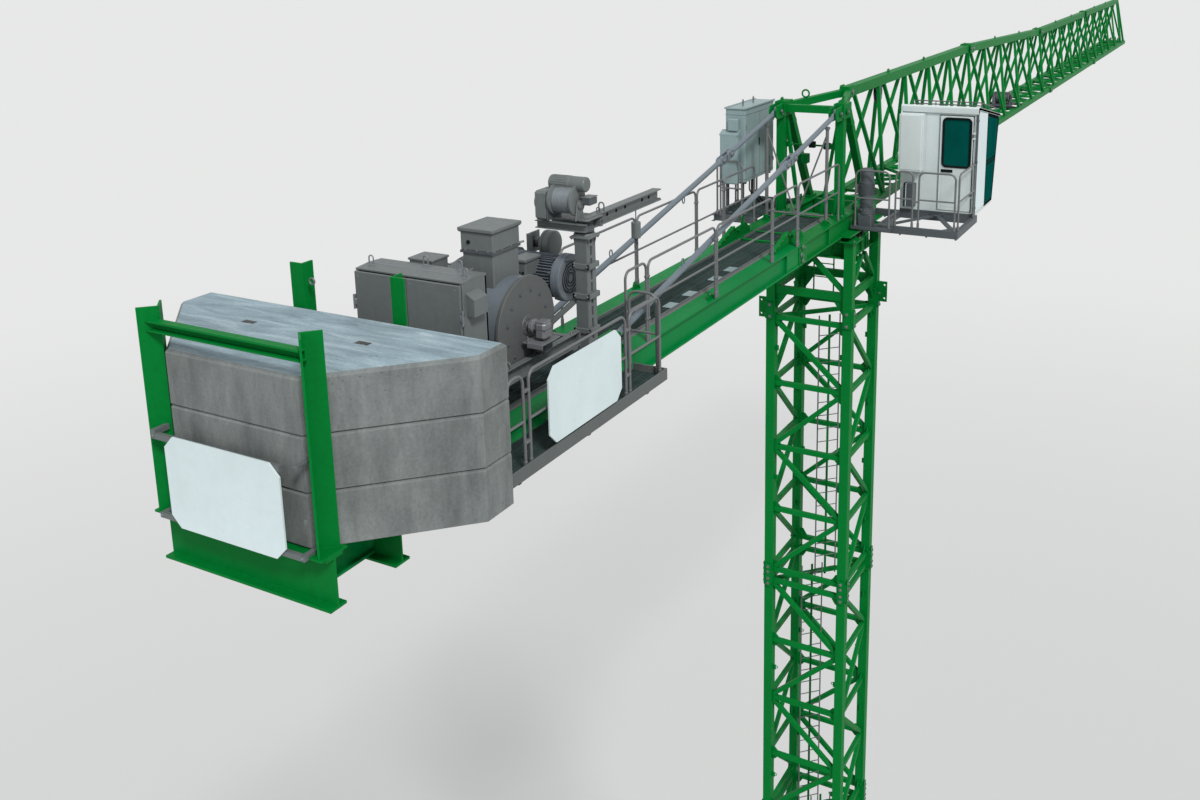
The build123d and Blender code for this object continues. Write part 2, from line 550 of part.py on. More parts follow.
with BuildPart() as walkway:
    block(-0.385, 0.385, -12.20, -3.32, 31.00, 31.03)
    for s in (-1, 1):
        block(s * 0.365, s * 0.385, -12.20, -3.32, 31.00, 31.07)
        block(s * 0.365, s * 0.385, -3.17, -1.00, 31.00, 31.07)
    for k in range(9):
        y = -12.1 + 1.05 * k
        block(-0.48, 0.48, y - 0.03, y + 0.03, 30.93, 31.00)
    block(-0.385, 0.385, -3.17, -1.00, 31.00, 31.03)
save(walkway.part, "walkway")

with BuildPart() as railing_left:
    for a, b in ((-8.75, -6.573), (-6.555, -4.457), (-4.439, -3.342), (-3.324, -1.95)):
        rail(x_plane(-0.68), a, b, BEAM_TOP, 32.13)
save(railing_left.part, "railing_left")

with BuildPart() as railing_right:
    for a, b in ((-9.38, -8.785), (-8.767, -6.636), (-6.618, -4.466), (-4.448, -3.322), (-3.304, -1.195)):
        rail(x_plane(0.68), a, b, BEAM_TOP, 32.13)
save(railing_right.part, "railing_right")

with BuildPart() as side_platform:
    block(0.71, 1.28, -12.85, -9.40, 30.83, 30.86)
    block(1.255, 1.28, -12.85, -9.40, 30.83, 30.95)
    block(0.80, 1.28, -9.425, -9.40, 30.83, 30.95)
    block(0.80, 1.28, -12.85, -12.825, 30.83, 30.95)
    for y in (-12.60, -11.20, -9.80):
        block(0.655, 1.24, y - 0.03, y + 0.03, 30.76, 30.83)
    block(0.705, 0.905, -10.62, -10.42, 30.6, 31.0, Mode.SUBTRACT)
save(side_platform.part, "side_platform")

with BuildPart() as railing_side:
    for a, b in ((-12.82, -12.50), (-12.43, -10.35), (-10.29, -9.48)):
        rail(x_plane(1.225), a, b, 30.86, 31.93)
    rail(y_plane(-9.45), 0.76, 1.18, 30.86, 31.93)
    block(1.24, 1.281, -12.10, -10.65, 31.32, 31.36)
    block(1.24, 1.281, -12.10, -10.65, 31.60, 31.64)
save(railing_side.part, "railing_side")

TIE_TOP = (-1.13, 33.02)
TIE_LOW = (-9.62, 31.25)
with BuildPart() as tie_bars:
    slope = (TIE_TOP[1] - TIE_LOW[1]) / (TIE_TOP[0] - TIE_LOW[0])
    for s in (-1, 1):
        x = s * POST_X
        z_at = lambda y: TIE_LOW[1] + slope * (y - TIE_LOW[0])
        rod((x, TIE_LOW[0], TIE_LOW[1]), (x, TIE_TOP[0], TIE_TOP[1]), 0.045)
        for y in (TIE_LOW[0], TIE_TOP[0]):
            rod((x - 0.05, y, z_at(y)), (x + 0.05, y, z_at(y)), 0.085)
        for y in (-3.50,):
            beam((x, y - 0.28, z_at(y - 0.28)), (x, y + 0.28, z_at(y + 0.28)), 0.16, 0.13)
            for d in (-0.16, 0.16):
                rod((x - 0.10, y + d, z_at(y + d)), (x + 0.10, y + d, z_at(y + d)), 0.035)
save(tie_bars.part, "tie_bars")

with BuildPart() as tie_bar_stand:
    for s in (-1, 1):
        rod((s * 0.58, -1.60, BEAM_TOP), (s * 0.58, -1.60, 32.80), 0.03)
        rod((s * 0.58, -1.60, 32.66), (s * 0.02, -1.60, 31.20), 0.018)
    rod((-0.58, -1.60, 31.19), (0.58, -1.60, 31.19), 0.02)
    add(tie_bars.part, mode=Mode.SUBTRACT)
save(tie_bar_stand.part, "tie_bar_stand")

# ======================================================================
# Hoist winch
# ======================================================================
with BuildPart() as winch_base:
    for s in (-1, 1):
        block(s * 0.72, s * 0.80, -12.25, -10.68, 31.58, 31.75)
        for y in (-12.20, -10.78):
            block(s * 0.62, s * 0.705, y - 0.05, y + 0.05, BEAM_TOP, 31.60)
            block(s * 0.62, s * 0.80, y - 0.05, y + 0.05, 31.50, 31.60)
    for y in (-12.20, -10.75):
        block(-0.75, 0.75, y - 0.05, y + 0.05, 31.60, 31.73)
    # gear limit switch at the end of the drum
    block(0.73, 0.79, -11.50, -11.44, 31.75, 31.94)
    block(0.73, 1.00, -11.75, -11.42, 31.93, 31.96)
    rod((0.76, DRUM_Y, DRUM_Z), (0.84, DRUM_Y, DRUM_Z), 0.08)
    block(0.83, 0.98, DRUM_Y - 0.09, DRUM_Y + 0.09, 31.96, 32.17)
    block(0.76, 0.83, DRUM_Y - 0.05, DRUM_Y + 0.05, 31.96, 32.05)
    block(0.76, 0.90, -11.58, -11.42, 31.76, 31.93)
save(winch_base.part, "winch_base")

with BuildPart() as winch_gearcase:
    with BuildSketch(x_plane(-0.76)):
        with Locations((DRUM_Y * R, DRUM_Z * R)):
            Circle(0.56 * R)
        with Locations((DRUM_Y * R, 31.92 * R)):
            Rectangle(1.40 * R, 0.34 * R)
        with Locations((DRUM_Y * R, 31.35 * R)):
            Rectangle(2.0 * R, 0.80 * R, mode=Mode.SUBTRACT)
    extrude(amount=0.20 * R)
    with BuildSketch(x_plane(-0.58)):
        with Locations((DRUM_Y * R, DRUM_Z * R)):
            Circle(0.70 * R)
        with Locations((DRUM_Y * R, 31.50 * R)):
            Rectangle(2.0 * R, 0.90 * R, mode=Mode.SUBTRACT)
    extrude(amount=0.78 * R)
    # the tall cover spans the right part only, low side walls the rest
    block(-0.56, -0.12, -12.4, -10.8, 32.12, 32.9, Mode.SUBTRACT)
    block(0.07, 0.47, -11.88, -11.39, 32.40, 32.93)
    block(0.055, 0.485, -11.895, -11.375, 32.93, 33.16)
    block(0.035, 0.505, -11.915, -11.355, 33.16, 33.20)
    block(-0.36, -0.04, -12.27, -12.00, 32.40, 32.90)
    block(-0.76, -0.34, -11.20, -10.05, 31.80, 32.55)
    with Locations(Plane(origin=((-0.56 + 1.2) * R, DRUM_Y * R, DRUM_Z * R), z_dir=(1, 0, 0))):
        Cylinder(0.625 * R, 2.4 * R, mode=Mode.SUBTRACT)
    rod((-0.60, DRUM_Y, DRUM_Z), (-0.50, DRUM_Y, DRUM_Z), 0.07, Mode.SUBTRACT)
save(winch_gearcase.part, "winch_gearcase")

with BuildPart() as hoist_drum:
    rod((-0.50, DRUM_Y, DRUM_Z), (0.67, DRUM_Y, DRUM_Z), DRUM_R)
    for a, b in ((-0.54, -0.50), (0.66, 0.70)):
        rod((a, DRUM_Y, DRUM_Z), (b, DRUM_Y, DRUM_Z), 0.555)
    rod((-0.55, DRUM_Y, DRUM_Z), (0.745, DRUM_Y, DRUM_Z), 0.05)
save(hoist_drum.part, "hoist_drum")

with BuildPart() as winch_motor:
    rod((-0.34, -10.33, 32.27), (0.36, -10.33, 32.27), 0.26)
    rod((0.36, -10.33, 32.27), (0.48, -10.33, 32.27), 0.29)
    rod((-0.34, -10.33, 32.27), (-0.30, -10.33, 32.27), 0.29)
    block(-0.07, 0.15, -10.79, -10.45, 32.34, 32.56)
    block(-0.02, 0.10, -10.16, -9.98, 32.35, 32.46)
    rod((-0.05, -10.06, 32.58), (0.11, -10.06, 32.58), 0.17)
    rod((-0.20, -10.06, 32.58), (-0.05, -10.06, 32.58), 0.07)
    block(-0.23, -0.20, -10.19, -9.93, 32.45, 32.71)
save(winch_motor.part, "winch_motor")

# switch cabinet with two doors
with BuildPart() as switch_cabinet:
    block(-CAB2_X, CAB2_X, *CAB2_Y, *CAB2_Z)
    block(-CAB2_X, CAB2_X, CAB2_Y[0], CAB2_Y[1], CAB2_Z[1], CAB2_Z[1] + 0.025)
    block(-CAB2_X + 0.04, CAB2_X - 0.04, CAB2_Y[0] - 0.02, CAB2_Y[1] - 0.04, CAB2_Z[0] + 0.05, CAB2_Z[1] - 0.05,
          Mode.SUBTRACT)
    block(CAB2_X, CAB2_X + 0.10, -12.69, -12.46, 32.50, 32.74)
    for s in (-1, 1):
        block(s * 0.52, s * 0.66, -12.70, -12.34, BEAM_TOP, CAB2_Z[0])
        for z in (31.45, 32.50):
            for a, b in ((z - 0.08, z - 0.032), (z + 0.032, z + 0.08)):
                rod((s * 0.715, -12.78, a), (s * 0.715, -12.78, b), 0.012)
                block(s * 0.70, s * 0.712, -12.78, -12.73, a, b)
save(switch_cabinet.part, "switch_cabinet")

for label, s in (("left", -1), ("right", 1)):
    with BuildPart() as cabinet_door:
        block(s * 0.004, s * 0.692, *DOOR2_Y, CAB2_Z[0] + 0.01, CAB2_Z[1] - 0.01)
        for z in (31.45, 32.50):
            rod((s * 0.715, -12.78, z - 0.03), (s * 0.715, -12.78, z + 0.03), 0.012)
            block(s * 0.68, s * 0.715, -12.788, -12.774, z - 0.03, z + 0.03)
        if s > 0:
            block(0.05, 0.075, -12.805, -12.78, 31.95, 32.10)
    save(cabinet_door.part, "switch_cabinet_door_" + label)

# ======================================================================
# Davit
# ======================================================================
PX, PY = DAVIT
with BuildPart() as davit_post:
    for s in (-1, 1):
        block(PX - 0.10, PX + 0.10, PY + s * 0.085, PY + s * 0.10, 30.70, 32.85)
    block(PX - 0.01, PX + 0.01, PY - 0.10, PY + 0.10, 30.70, 32.85)
    for z in (31.72, 32.14, 32.50):
        block(PX - 0.115, PX + 0.115, PY - 0.115, PY + 0.115, z, z + 0.04)
    block(PX - 0.13, PX + 0.13, PY - 0.13, PY + 0.13, 32.85, 32.875)
    rod((PX, PY, 32.875), (PX, PY, 32.905), 0.13)
save(davit_post.part, "davit_post")


def at(a, b, z):
    """A point a along the davit arm and b to its right, at height z."""
    return (PX + b, PY + a, z)


with BuildPart() as davit_arm:
    Z0 = DAVIT_TOP
    rod((PX, PY, 32.92), (PX, PY, 32.99), 0.115)
    beam(at(0.0, 0, Z0 + 0.008), at(1.82, 0, Z0 + 0.008), 0.12, 0.016)
    beam(at(0.0, 0, Z0 + 0.142), at(1.82, 0, Z0 + 0.142), 0.12, 0.016)
    beam(at(0.0, 0, Z0 + 0.075), at(1.82, 0, Z0 + 0.075), 0.012, 0.14)
    # base frame over the post, carrying the rope winch beside the arm's root
    for a in (-0.07, 0.23):
        beam(at(a, -0.58, 33.025), at(a, 0.10, 33.025), 0.06, 0.09)
    beam(at(-0.10, -0.23, 33.06), at(0.26, -0.23, 33.06), 0.68, 0.02)
    beam(at(-0.21, -0.455, 33.22), at(0.09, -0.455, 33.22), 0.19, 0.35)
    rod(at(-0.06, -0.37, 33.285), at(-0.06, -0.03, 33.285), 0.155)
    rod(at(-0.06, -0.35, 33.285), at(-0.06, -0.325, 33.285), 0.18)
    rod(at(-0.06, -0.065, 33.285), at(-0.06, -0.04, 33.285), 0.18)
    beam(at(-0.15, -0.02, 33.17), at(0.03, -0.02, 33.17), 0.035, 0.24)
    beam(at(-0.05, 0.05, 33.275), at(0.13, 0.05, 33.275), 0.13, 0.10)
    rod(at(-0.01, -0.42, 33.47), at(-0.01, 0.06, 33.47), 0.09)
    # hook cylinder on a short rope
    rod(at(1.24, 0, 32.75), at(1.24, 0, Z0 + 0.01), 0.012)
    rod(at(1.24, 0, 32.556), at(1.24, 0, 32.762), 0.06)
    rod(at(1.24, 0, 32.42), at(1.24, 0, 32.56), 0.02)
save(davit_arm.part, "davit_arm")

# ======================================================================
# Light switch cabinet on its platform, left side
# ======================================================================
with BuildPart() as cabinet_platform:
    block(-1.55, -0.706, -1.85, -1.77, 30.95, 31.07)
    block(-1.55, -0.706, 0.12, 0.20, 30.95, 31.07)
    block(-1.55, -1.47, -1.85, 0.20, 30.95, 31.07)
    block(-1.50, -0.706, -0.86, -0.80, 30.95, 31.05)
    block(-1.50, -0.73, -1.80, 0.15, 31.05, 31.07)
save(cabinet_platform.part, "cabinet_platform")

with BuildPart() as railing_cabinet:
    rail(x_plane(-1.515), -1.80, -0.90, 31.07, 32.15)
    rail(x_plane(-1.515), -0.83, 0.16, 31.07, 32.15)
    rail(y_plane(-1.815), -1.45, -0.98, 31.07, 32.15)
save(railing_cabinet.part, "railing_cabinet")

with BuildPart() as light_cabinet:
    block(-1.40, -1.00, -1.65, -0.25, 31.70, 33.09)
    block(-1.42, -0.98, -1.67, -0.23, 33.09, 33.12)
    block(-1.46, -1.10, -1.79, -1.65, 31.68, 32.62)
    block(-1.32, -1.12, -1.75, -1.65, 32.68, 32.92)
    for y in (-1.55, -0.35):
        for x in (-1.38, -1.07):
            block(x, x + 0.05, y - 0.03, y + 0.03, 31.07, 31.70)
save(light_cabinet.part, "light_cabinet")

# ======================================================================
# Cab
# ======================================================================
X0, X1 = CAB_X
FRONT = lambda z: CAB_FOOT_Y + (CAB_Y[1] - CAB_FOOT_Y) * (z - CAB_Z[0]) / (CAB_Z[1] - CAB_Z[0])


def cab_prism(x0, x1, y0, z0, z1, inset, mode=Mode.ADD):
    """The side profile of the cab between two heights, inset from the front."""
    with BuildSketch(x_plane(x0)) as sk:
        with BuildLine():
            Polyline((y0 * R, z0 * R), ((FRONT(z0) - inset) * R, z0 * R),
                     ((FRONT(z1) - inset) * R, z1 * R), (y0 * R, z1 * R), close=True)
        make_face()
    extrude(sk.sketch, amount=(x1 - x0) * R, mode=mode)


# the roof falls towards the front
ROOF_Y, ROOF_TOP, ROOF_FALL, ROOF_T = 0.965, 32.965, 0.195, 0.055
UNDER = lambda y: ROOF_TOP - ROOF_FALL * (y - ROOF_Y) - ROOF_T
# height at which the sloping front meets the underside of the roof
k = (CAB_Y[1] - CAB_FOOT_Y) / (CAB_Z[1] - CAB_Z[0])
FRONT_TOP = (UNDER(CAB_FOOT_Y) + ROOF_FALL * k * CAB_Z[0]) / (1 + ROOF_FALL * k)


def cab_profile(x0, x1, pts, mode=Mode.ADD):
    """A side outline of the cab carried from x0 to x1."""
    with BuildSketch(x_plane(x0)) as sk:
        with BuildLine():
            Polyline(*[(y * R, z * R) for y, z in pts], close=True)
        make_face()
    extrude(sk.sketch, amount=(x1 - x0) * R, mode=mode)


with BuildPart() as cab_body:
    cab_prism(X0, X1, CAB_Y[0], CAB_Z[0], 30.88, 0)
    cab_profile(X0 - 0.02, X1 + 0.02, [
        (ROOF_Y, 32.82), (ROOF_Y, 32.935), (ROOF_Y + 0.03, UNDER(ROOF_Y + 0.03) + ROOF_T), (2.93, UNDER(2.93) + ROOF_T),
        (2.93, UNDER(2.93)), (CAB_Y[0] + 0.05, UNDER(CAB_Y[0] + 0.05)), (CAB_Y[0] + 0.05, 32.82)])
    block(X0, X1, CAB_Y[0], CAB_Y[0] + 0.05, 30.88, 32.84)
    for x in (X0, X1 - 0.05):
        cab_profile(x, x + 0.05, [(CAB_Y[0], 30.88), (1.85, 30.88), (1.85, UNDER(1.85)), (CAB_Y[0], UNDER(CAB_Y[0]))])
    block(DOOR_X[0] - 0.01, DOOR_X[1] + 0.015, 0.9, 1.3, DOOR_Z[0] - 0.01, DOOR_Z[1] + 0.01, Mode.SUBTRACT)
    block(1.20, 1.66, 0.80, 1.00, 31.67, 32.79)
    block(1.30, 1.52, 0.88, 1.00, 30.95, 31.40)
    rod((X1 + 0.005, 0.985, 30.82), (X1 + 0.005, 0.985, 32.83), 0.02)
    for z in (31.25, 32.40):
        for a, b in ((z - 0.07, z - 0.032), (z + 0.032, z + 0.07)):
            rod((*CAB_HINGE, a), (*CAB_HINGE, b), 0.010)
            block(CAB_HINGE[0], X1, CAB_HINGE[1] - 0.008, CAB_Y[0] + 0.005, a, b)
save(cab_body.part, "cab_body")

with BuildPart() as cab_glazing:
    cab_profile(X0, X1, [(1.85, 30.88), (FRONT(30.88), 30.88), (FRONT(FRONT_TOP), FRONT_TOP), (1.85, UNDER(1.85))])
    cab_prism(X0 + 0.03, X1 - 0.03, 1.80, 30.80, 32.87, 0.035, Mode.SUBTRACT)
save(cab_glazing.part, "cab_glazing")

with BuildPart() as cab_door:
    block(*DOOR_X, 0.985, 1.02, *DOOR_Z)
    block(2.00, 2.20, 0.955, 0.985, 31.67, 31.71)
    for z in (31.25, 32.40):
        rod((*CAB_HINGE, z - 0.03), (*CAB_HINGE, z + 0.03), 0.010)
        block(DOOR_X[1] - 0.03, CAB_HINGE[0], 0.978, 0.990, z - 0.03, z + 0.03)
save(cab_door.part, "cab_door")

with BuildPart() as cab_platform:
    for y0, y1 in ((-0.37, -0.30), (0.98, 1.06)):
        block(0.706, 2.68, y0, y1, 30.68, 30.82)
    for x0, x1, y1 in ((1.15, 1.22, 1.06), (2.61, 2.68, 1.18)):
        block(x0, x1, -0.37, y1, 30.68, 30.82)
    # two bearers under the cab
    for x in (1.45, 2.05):
        block(x, x + 0.08, 1.02, 2.05, 30.72, 30.82)
    beam((1.22, -0.32, 30.79), (1.95, 1.00, 30.79), 0.09, 0.03)
    beam((2.61, -0.32, 30.79), (1.95, 1.00, 30.79), 0.09, 0.03)
    # bracket of the guard in front of the slewing motor
    for y0, y1 in ((-0.56, -0.50),):
        block(0.706, 1.47, y0, y1, 30.74, 30.80)
        block(1.41, 1.47, y0, -0.35, 30.74, 30.80)
    block(0.60, 1.08, -0.47, -0.17, 30.5, 31.1, Mode.SUBTRACT)
    add(slewing_deck.part, mode=Mode.SUBTRACT)
save(cab_platform.part, "cab_platform")

with BuildPart() as railing_cab:
    for a, b in ((1.478, 1.836), (1.914, 2.62)):
        rail(y_plane(-0.335), a, b, 30.82, 31.90)
    rail(y_plane(-0.53), 0.767, 1.454, 30.80, 31.90)
    rail(x_plane(2.655), -0.29, 0.955, 30.82, 31.90)
save(railing_cab.part, "railing_cab")
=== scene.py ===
import math
import random
import bpy
import bmesh
from mathutils import Vector, Matrix


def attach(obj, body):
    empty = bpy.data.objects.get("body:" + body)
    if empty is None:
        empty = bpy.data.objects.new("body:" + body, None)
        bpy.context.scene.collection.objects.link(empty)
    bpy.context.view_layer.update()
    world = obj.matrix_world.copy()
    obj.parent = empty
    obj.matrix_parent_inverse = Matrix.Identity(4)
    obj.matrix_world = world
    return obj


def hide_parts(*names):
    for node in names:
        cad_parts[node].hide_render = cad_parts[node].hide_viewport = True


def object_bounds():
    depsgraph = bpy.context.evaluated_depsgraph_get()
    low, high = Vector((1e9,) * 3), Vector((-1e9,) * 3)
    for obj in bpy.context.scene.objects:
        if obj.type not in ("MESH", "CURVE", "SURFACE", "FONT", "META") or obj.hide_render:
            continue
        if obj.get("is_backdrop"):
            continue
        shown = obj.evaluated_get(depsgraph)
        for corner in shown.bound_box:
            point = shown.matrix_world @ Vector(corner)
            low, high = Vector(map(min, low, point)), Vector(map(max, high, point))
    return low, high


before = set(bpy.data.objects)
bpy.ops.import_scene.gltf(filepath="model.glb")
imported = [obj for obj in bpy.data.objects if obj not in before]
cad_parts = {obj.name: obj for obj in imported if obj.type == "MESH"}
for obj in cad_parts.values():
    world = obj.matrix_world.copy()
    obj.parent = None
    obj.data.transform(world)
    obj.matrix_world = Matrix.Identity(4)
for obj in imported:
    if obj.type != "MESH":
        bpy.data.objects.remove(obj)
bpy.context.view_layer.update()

R = 0.5                      # model metres for one metre of the full-size crane
random.seed(7)

# ----------------------------------------------------------------------
# camera, floor, light
# ----------------------------------------------------------------------
scene = bpy.context.scene
scene.view_settings.view_transform = "Standard"
scene.view_settings.look = "None"

CAM_POS = (7.65, -21.80, 36.11)
CAM_YAW, CAM_PITCH, CAM_ROLL = math.radians(30.46), math.radians(13.08), math.radians(-1.51)
CAM_F = 1175.0
cam_data = bpy.data.cameras.new("camera")
cam = bpy.data.objects.new("camera", cam_data)
scene.collection.objects.link(cam)
fw = Vector((-math.sin(CAM_YAW) * math.cos(CAM_PITCH), math.cos(CAM_YAW) * math.cos(CAM_PITCH), -math.sin(CAM_PITCH)))
rt = Vector((math.cos(CAM_YAW), math.sin(CAM_YAW), 0))
up = rt.cross(fw)
r2 = rt * math.cos(CAM_ROLL) + up * math.sin(CAM_ROLL)
u2 = -rt * math.sin(CAM_ROLL) + up * math.cos(CAM_ROLL)
rot = Matrix((r2, u2, -fw)).transposed().to_4x4()
cam.matrix_world = Matrix.Translation(Vector(CAM_POS) * R) @ rot
cam_data.sensor_width = 36.0
cam_data.lens = CAM_F / 1200.0 * 36.0
cam_data.shift_x = 0.0
cam_data.shift_y = -0.15
cam_data.clip_start, cam_data.clip_end = 0.2, 4000.0
scene.camera = cam

world = bpy.data.worlds.new("studio")
scene.world = world
world.use_nodes = True
world.node_tree.nodes["Background"].inputs["Color"].default_value = (0.97, 0.99, 1.0, 1.0)
world.node_tree.nodes["Background"].inputs["Strength"].default_value = 0.85


def sun(name, direction, energy, angle, color=(1, 1, 1)):
    data = bpy.data.lights.new(name, "SUN")
    data.energy = energy
    data.angle = math.radians(angle)
    data.color = color
    ob = bpy.data.objects.new(name, data)
    ob.rotation_euler = Vector(direction).to_track_quat("-Z", "Y").to_euler()
    scene.collection.objects.link(ob)
    return ob


sun("key", (-0.62, 0.48, -0.80), 3.4, 12, (1.0, 0.98, 0.95))
sun("fill", (0.10, 1.0, -0.30), 0.5, 30, (1.0, 1.0, 1.0))


# ----------------------------------------------------------------------
# materials
# ----------------------------------------------------------------------
def srgb(r, g, b):
    def lin(c):
        c /= 255.0
        return c / 12.92 if c <= 0.04045 else ((c + 0.055) / 1.055) ** 2.4
    return (lin(r), lin(g), lin(b), 1.0)


class Tree:
    """Small helper round a material's node tree."""

    def __init__(self, name):
        self.mat = bpy.data.materials.new(name)
        self.mat.use_nodes = True
        self.nt = self.mat.node_tree
        self.nt.nodes.clear()
        self.out = self.node("ShaderNodeOutputMaterial")
        self.bsdf = self.node("ShaderNodeBsdfPrincipled")
        self.link(self.bsdf, "BSDF", self.out, "Surface")
        self.co = self.node("ShaderNodeTexCoord")

    def node(self, kind, **props):
        n = self.nt.nodes.new(kind)
        for k, v in props.items():
            setattr(n, k, v)
        return n

    def link(self, a, sa, b, sb):
        self.nt.links.new(a.outputs[sa], b.inputs[sb])

    def mapping(self, scale=(1, 1, 1), rot=(0, 0, 0)):
        m = self.node("ShaderNodeMapping")
        m.inputs["Scale"].default_value = scale
        m.inputs["Rotation"].default_value = rot
        self.link(self.co, "Object", m, "Vector")
        return m

    def noise(self, scale, detail=4.0, rough=0.55, stretch=(1, 1, 1), distortion=0.0):
        n = self.node("ShaderNodeTexNoise")
        n.inputs["Scale"].default_value = scale
        n.inputs["Detail"].default_value = detail
        n.inputs["Roughness"].default_value = rough
        n.inputs["Distortion"].default_value = distortion
        self.link(self.mapping(stretch), "Vector", n, "Vector")
        return n

    def ramp(self, src, out_name, stops):
        r = self.node("ShaderNodeValToRGB")
        el = r.color_ramp.elements
        while len(el) > len(stops):
            el.remove(el[-1])
        while len(el) < len(stops):
            el.new(0.5)
        for e, (p, c) in zip(el, stops):
            e.position = p
            e.color = c if len(c) == 4 else (*c, 1.0)
        self.link(src, out_name, r, "Fac")
        return r

    def mix(self, fac, fo, a, ao, b, bo, blend="MIX", factor=None):
        m = self.node("ShaderNodeMix", data_type="RGBA", blend_type=blend)
        ins = {i.identifier: i for i in m.inputs}
        if fac is not None:
            self.nt.links.new(fac.outputs[fo], ins["Factor_Float"])
        else:
            ins["Factor_Float"].default_value = factor
        for src, so, key in ((a, ao, "A_Color"), (b, bo, "B_Color")):
            if isinstance(src, tuple):
                ins[key].default_value = src
            else:
                self.nt.links.new(src.outputs[so], ins[key])
        self.mixed = {o.identifier: o for o in m.outputs}["Result_Color"]
        return m

    def mix_out(self, m):
        return {o.identifier: o for o in m.outputs}["Result_Color"]


def shade(c, f):
    return (min(c[0] * f, 1), min(c[1] * f, 1), min(c[2] * f, 1), 1.0)


def edge_mask(t, radius):
    """Bright along edges: the rounded normal against the true one."""
    bev = t.node("ShaderNodeBevel", samples=4)
    bev.inputs["Radius"].default_value = radius
    geo = t.node("ShaderNodeNewGeometry")
    dot = t.node("ShaderNodeVectorMath", operation="DOT_PRODUCT")
    t.nt.links.new(bev.outputs["Normal"], dot.inputs[0])
    t.nt.links.new(geo.outputs["True Normal"], dot.inputs[1])
    inv = t.node("ShaderNodeMapRange")
    inv.inputs["From Min"].default_value = 0.995
    inv.inputs["From Max"].default_value = 0.80
    t.nt.links.new(dot.outputs["Value"], inv.inputs["Value"])
    return inv


def painted(name, color, rough=0.38, wear=0.5, grime=0.35, edge=None, bump=0.25, metallic=0.0, coat=0.15,
            big=1.3, radius=0.004, spec=0.35, speck=0.40, dust=0.035):
    """Industrial paint: soft large-scale fading, fine mottling, dust in the grain, lighter worn edges."""
    t = Tree(name)
    large = t.noise(big, 5.0, 0.6)
    fine = t.noise(34.0, 6.0, 0.65)
    streak = t.noise(7.0, 4.0, 0.6, stretch=(3.0, 3.0, 0.35))
    base = t.ramp(large, "Fac", [(0.25, shade(color, 0.86)), (0.55, color), (0.80, shade(color, 1.10))])
    mottle = t.ramp(fine, "Fac", [(0.30, shade(color, 0.80)), (0.50, color), (0.72, shade(color, 1.16))])
    m1 = t.mix(None, None, base, "Color", mottle, "Color", factor=speck)
    dirt_f = t.node("ShaderNodeMapRange")
    dirt_f.inputs["From Min"].default_value = 0.52
    dirt_f.inputs["From Max"].default_value = 0.80
    dirt_f.inputs["To Max"].default_value = grime
    t.link(streak, "Fac", dirt_f, "Value")
    dirt = (color[0] * 0.45 + dust, color[1] * 0.45 + dust * 0.95, color[2] * 0.45 + dust * 0.8, 1.0)
    m2 = t.node("ShaderNodeMix", data_type="RGBA")
    i2 = {i.identifier: i for i in m2.inputs}
    t.nt.links.new(dirt_f.outputs["Result"], i2["Factor_Float"])
    t.nt.links.new(t.mix_out(m1), i2["A_Color"])
    i2["B_Color"].default_value = dirt
    # worn, lighter edges broken up by the fine grain
    em = edge_mask(t, radius)
    brk = t.node("ShaderNodeMath", operation="MULTIPLY")
    t.nt.links.new(em.outputs["Result"], brk.inputs[0])
    brk2 = t.node("ShaderNodeMapRange")
    brk2.inputs["From Min"].default_value = 0.40
    brk2.inputs["From Max"].default_value = 0.62
    brk2.inputs["To Min"].default_value = 0.15
    brk2.inputs["To Max"].default_value = wear
    t.link(fine, "Fac", brk2, "Value")
    t.nt.links.new(brk2.outputs["Result"], brk.inputs[1])
    m3 = t.node("ShaderNodeMix", data_type="RGBA")
    i3 = {i.identifier: i for i in m3.inputs}
    t.nt.links.new(brk.outputs[0], i3["Factor_Float"])
    t.nt.links.new(t.mix_out(m2), i3["A_Color"])
    i3["B_Color"].default_value = edge or shade(color, 1.55)
    t.nt.links.new(t.mix_out(m3), t.bsdf.inputs["Base Color"])
    rr = t.node("ShaderNodeMapRange")
    rr.inputs["From Min"].default_value = 0.3
    rr.inputs["From Max"].default_value = 0.7
    rr.inputs["To Min"].default_value = max(rough - 0.09, 0.05)
    rr.inputs["To Max"].default_value = min(rough + 0.14, 1.0)
    t.link(fine, "Fac", rr, "Value")
    t.link(rr, "Result", t.bsdf, "Roughness")
    bp = t.node("ShaderNodeBump")
    bp.inputs["Strength"].default_value = bump
    bp.inputs["Distance"].default_value = 0.0012
    t.link(fine, "Fac", bp, "Height")
    bev = t.node("ShaderNodeBevel", samples=4)
    bev.inputs["Radius"].default_value = radius * 0.6
    t.nt.links.new(bev.outputs["Normal"], bp.inputs["Normal"])
    t.link(bp, "Normal", t.bsdf, "Normal")
    t.bsdf.inputs["Metallic"].default_value = metallic
    t.bsdf.inputs["Coat Weight"].default_value = coat
    t.bsdf.inputs["Coat Roughness"].default_value = 0.25
    t.bsdf.inputs["Specular IOR Level"].default_value = spec
    return t.mat


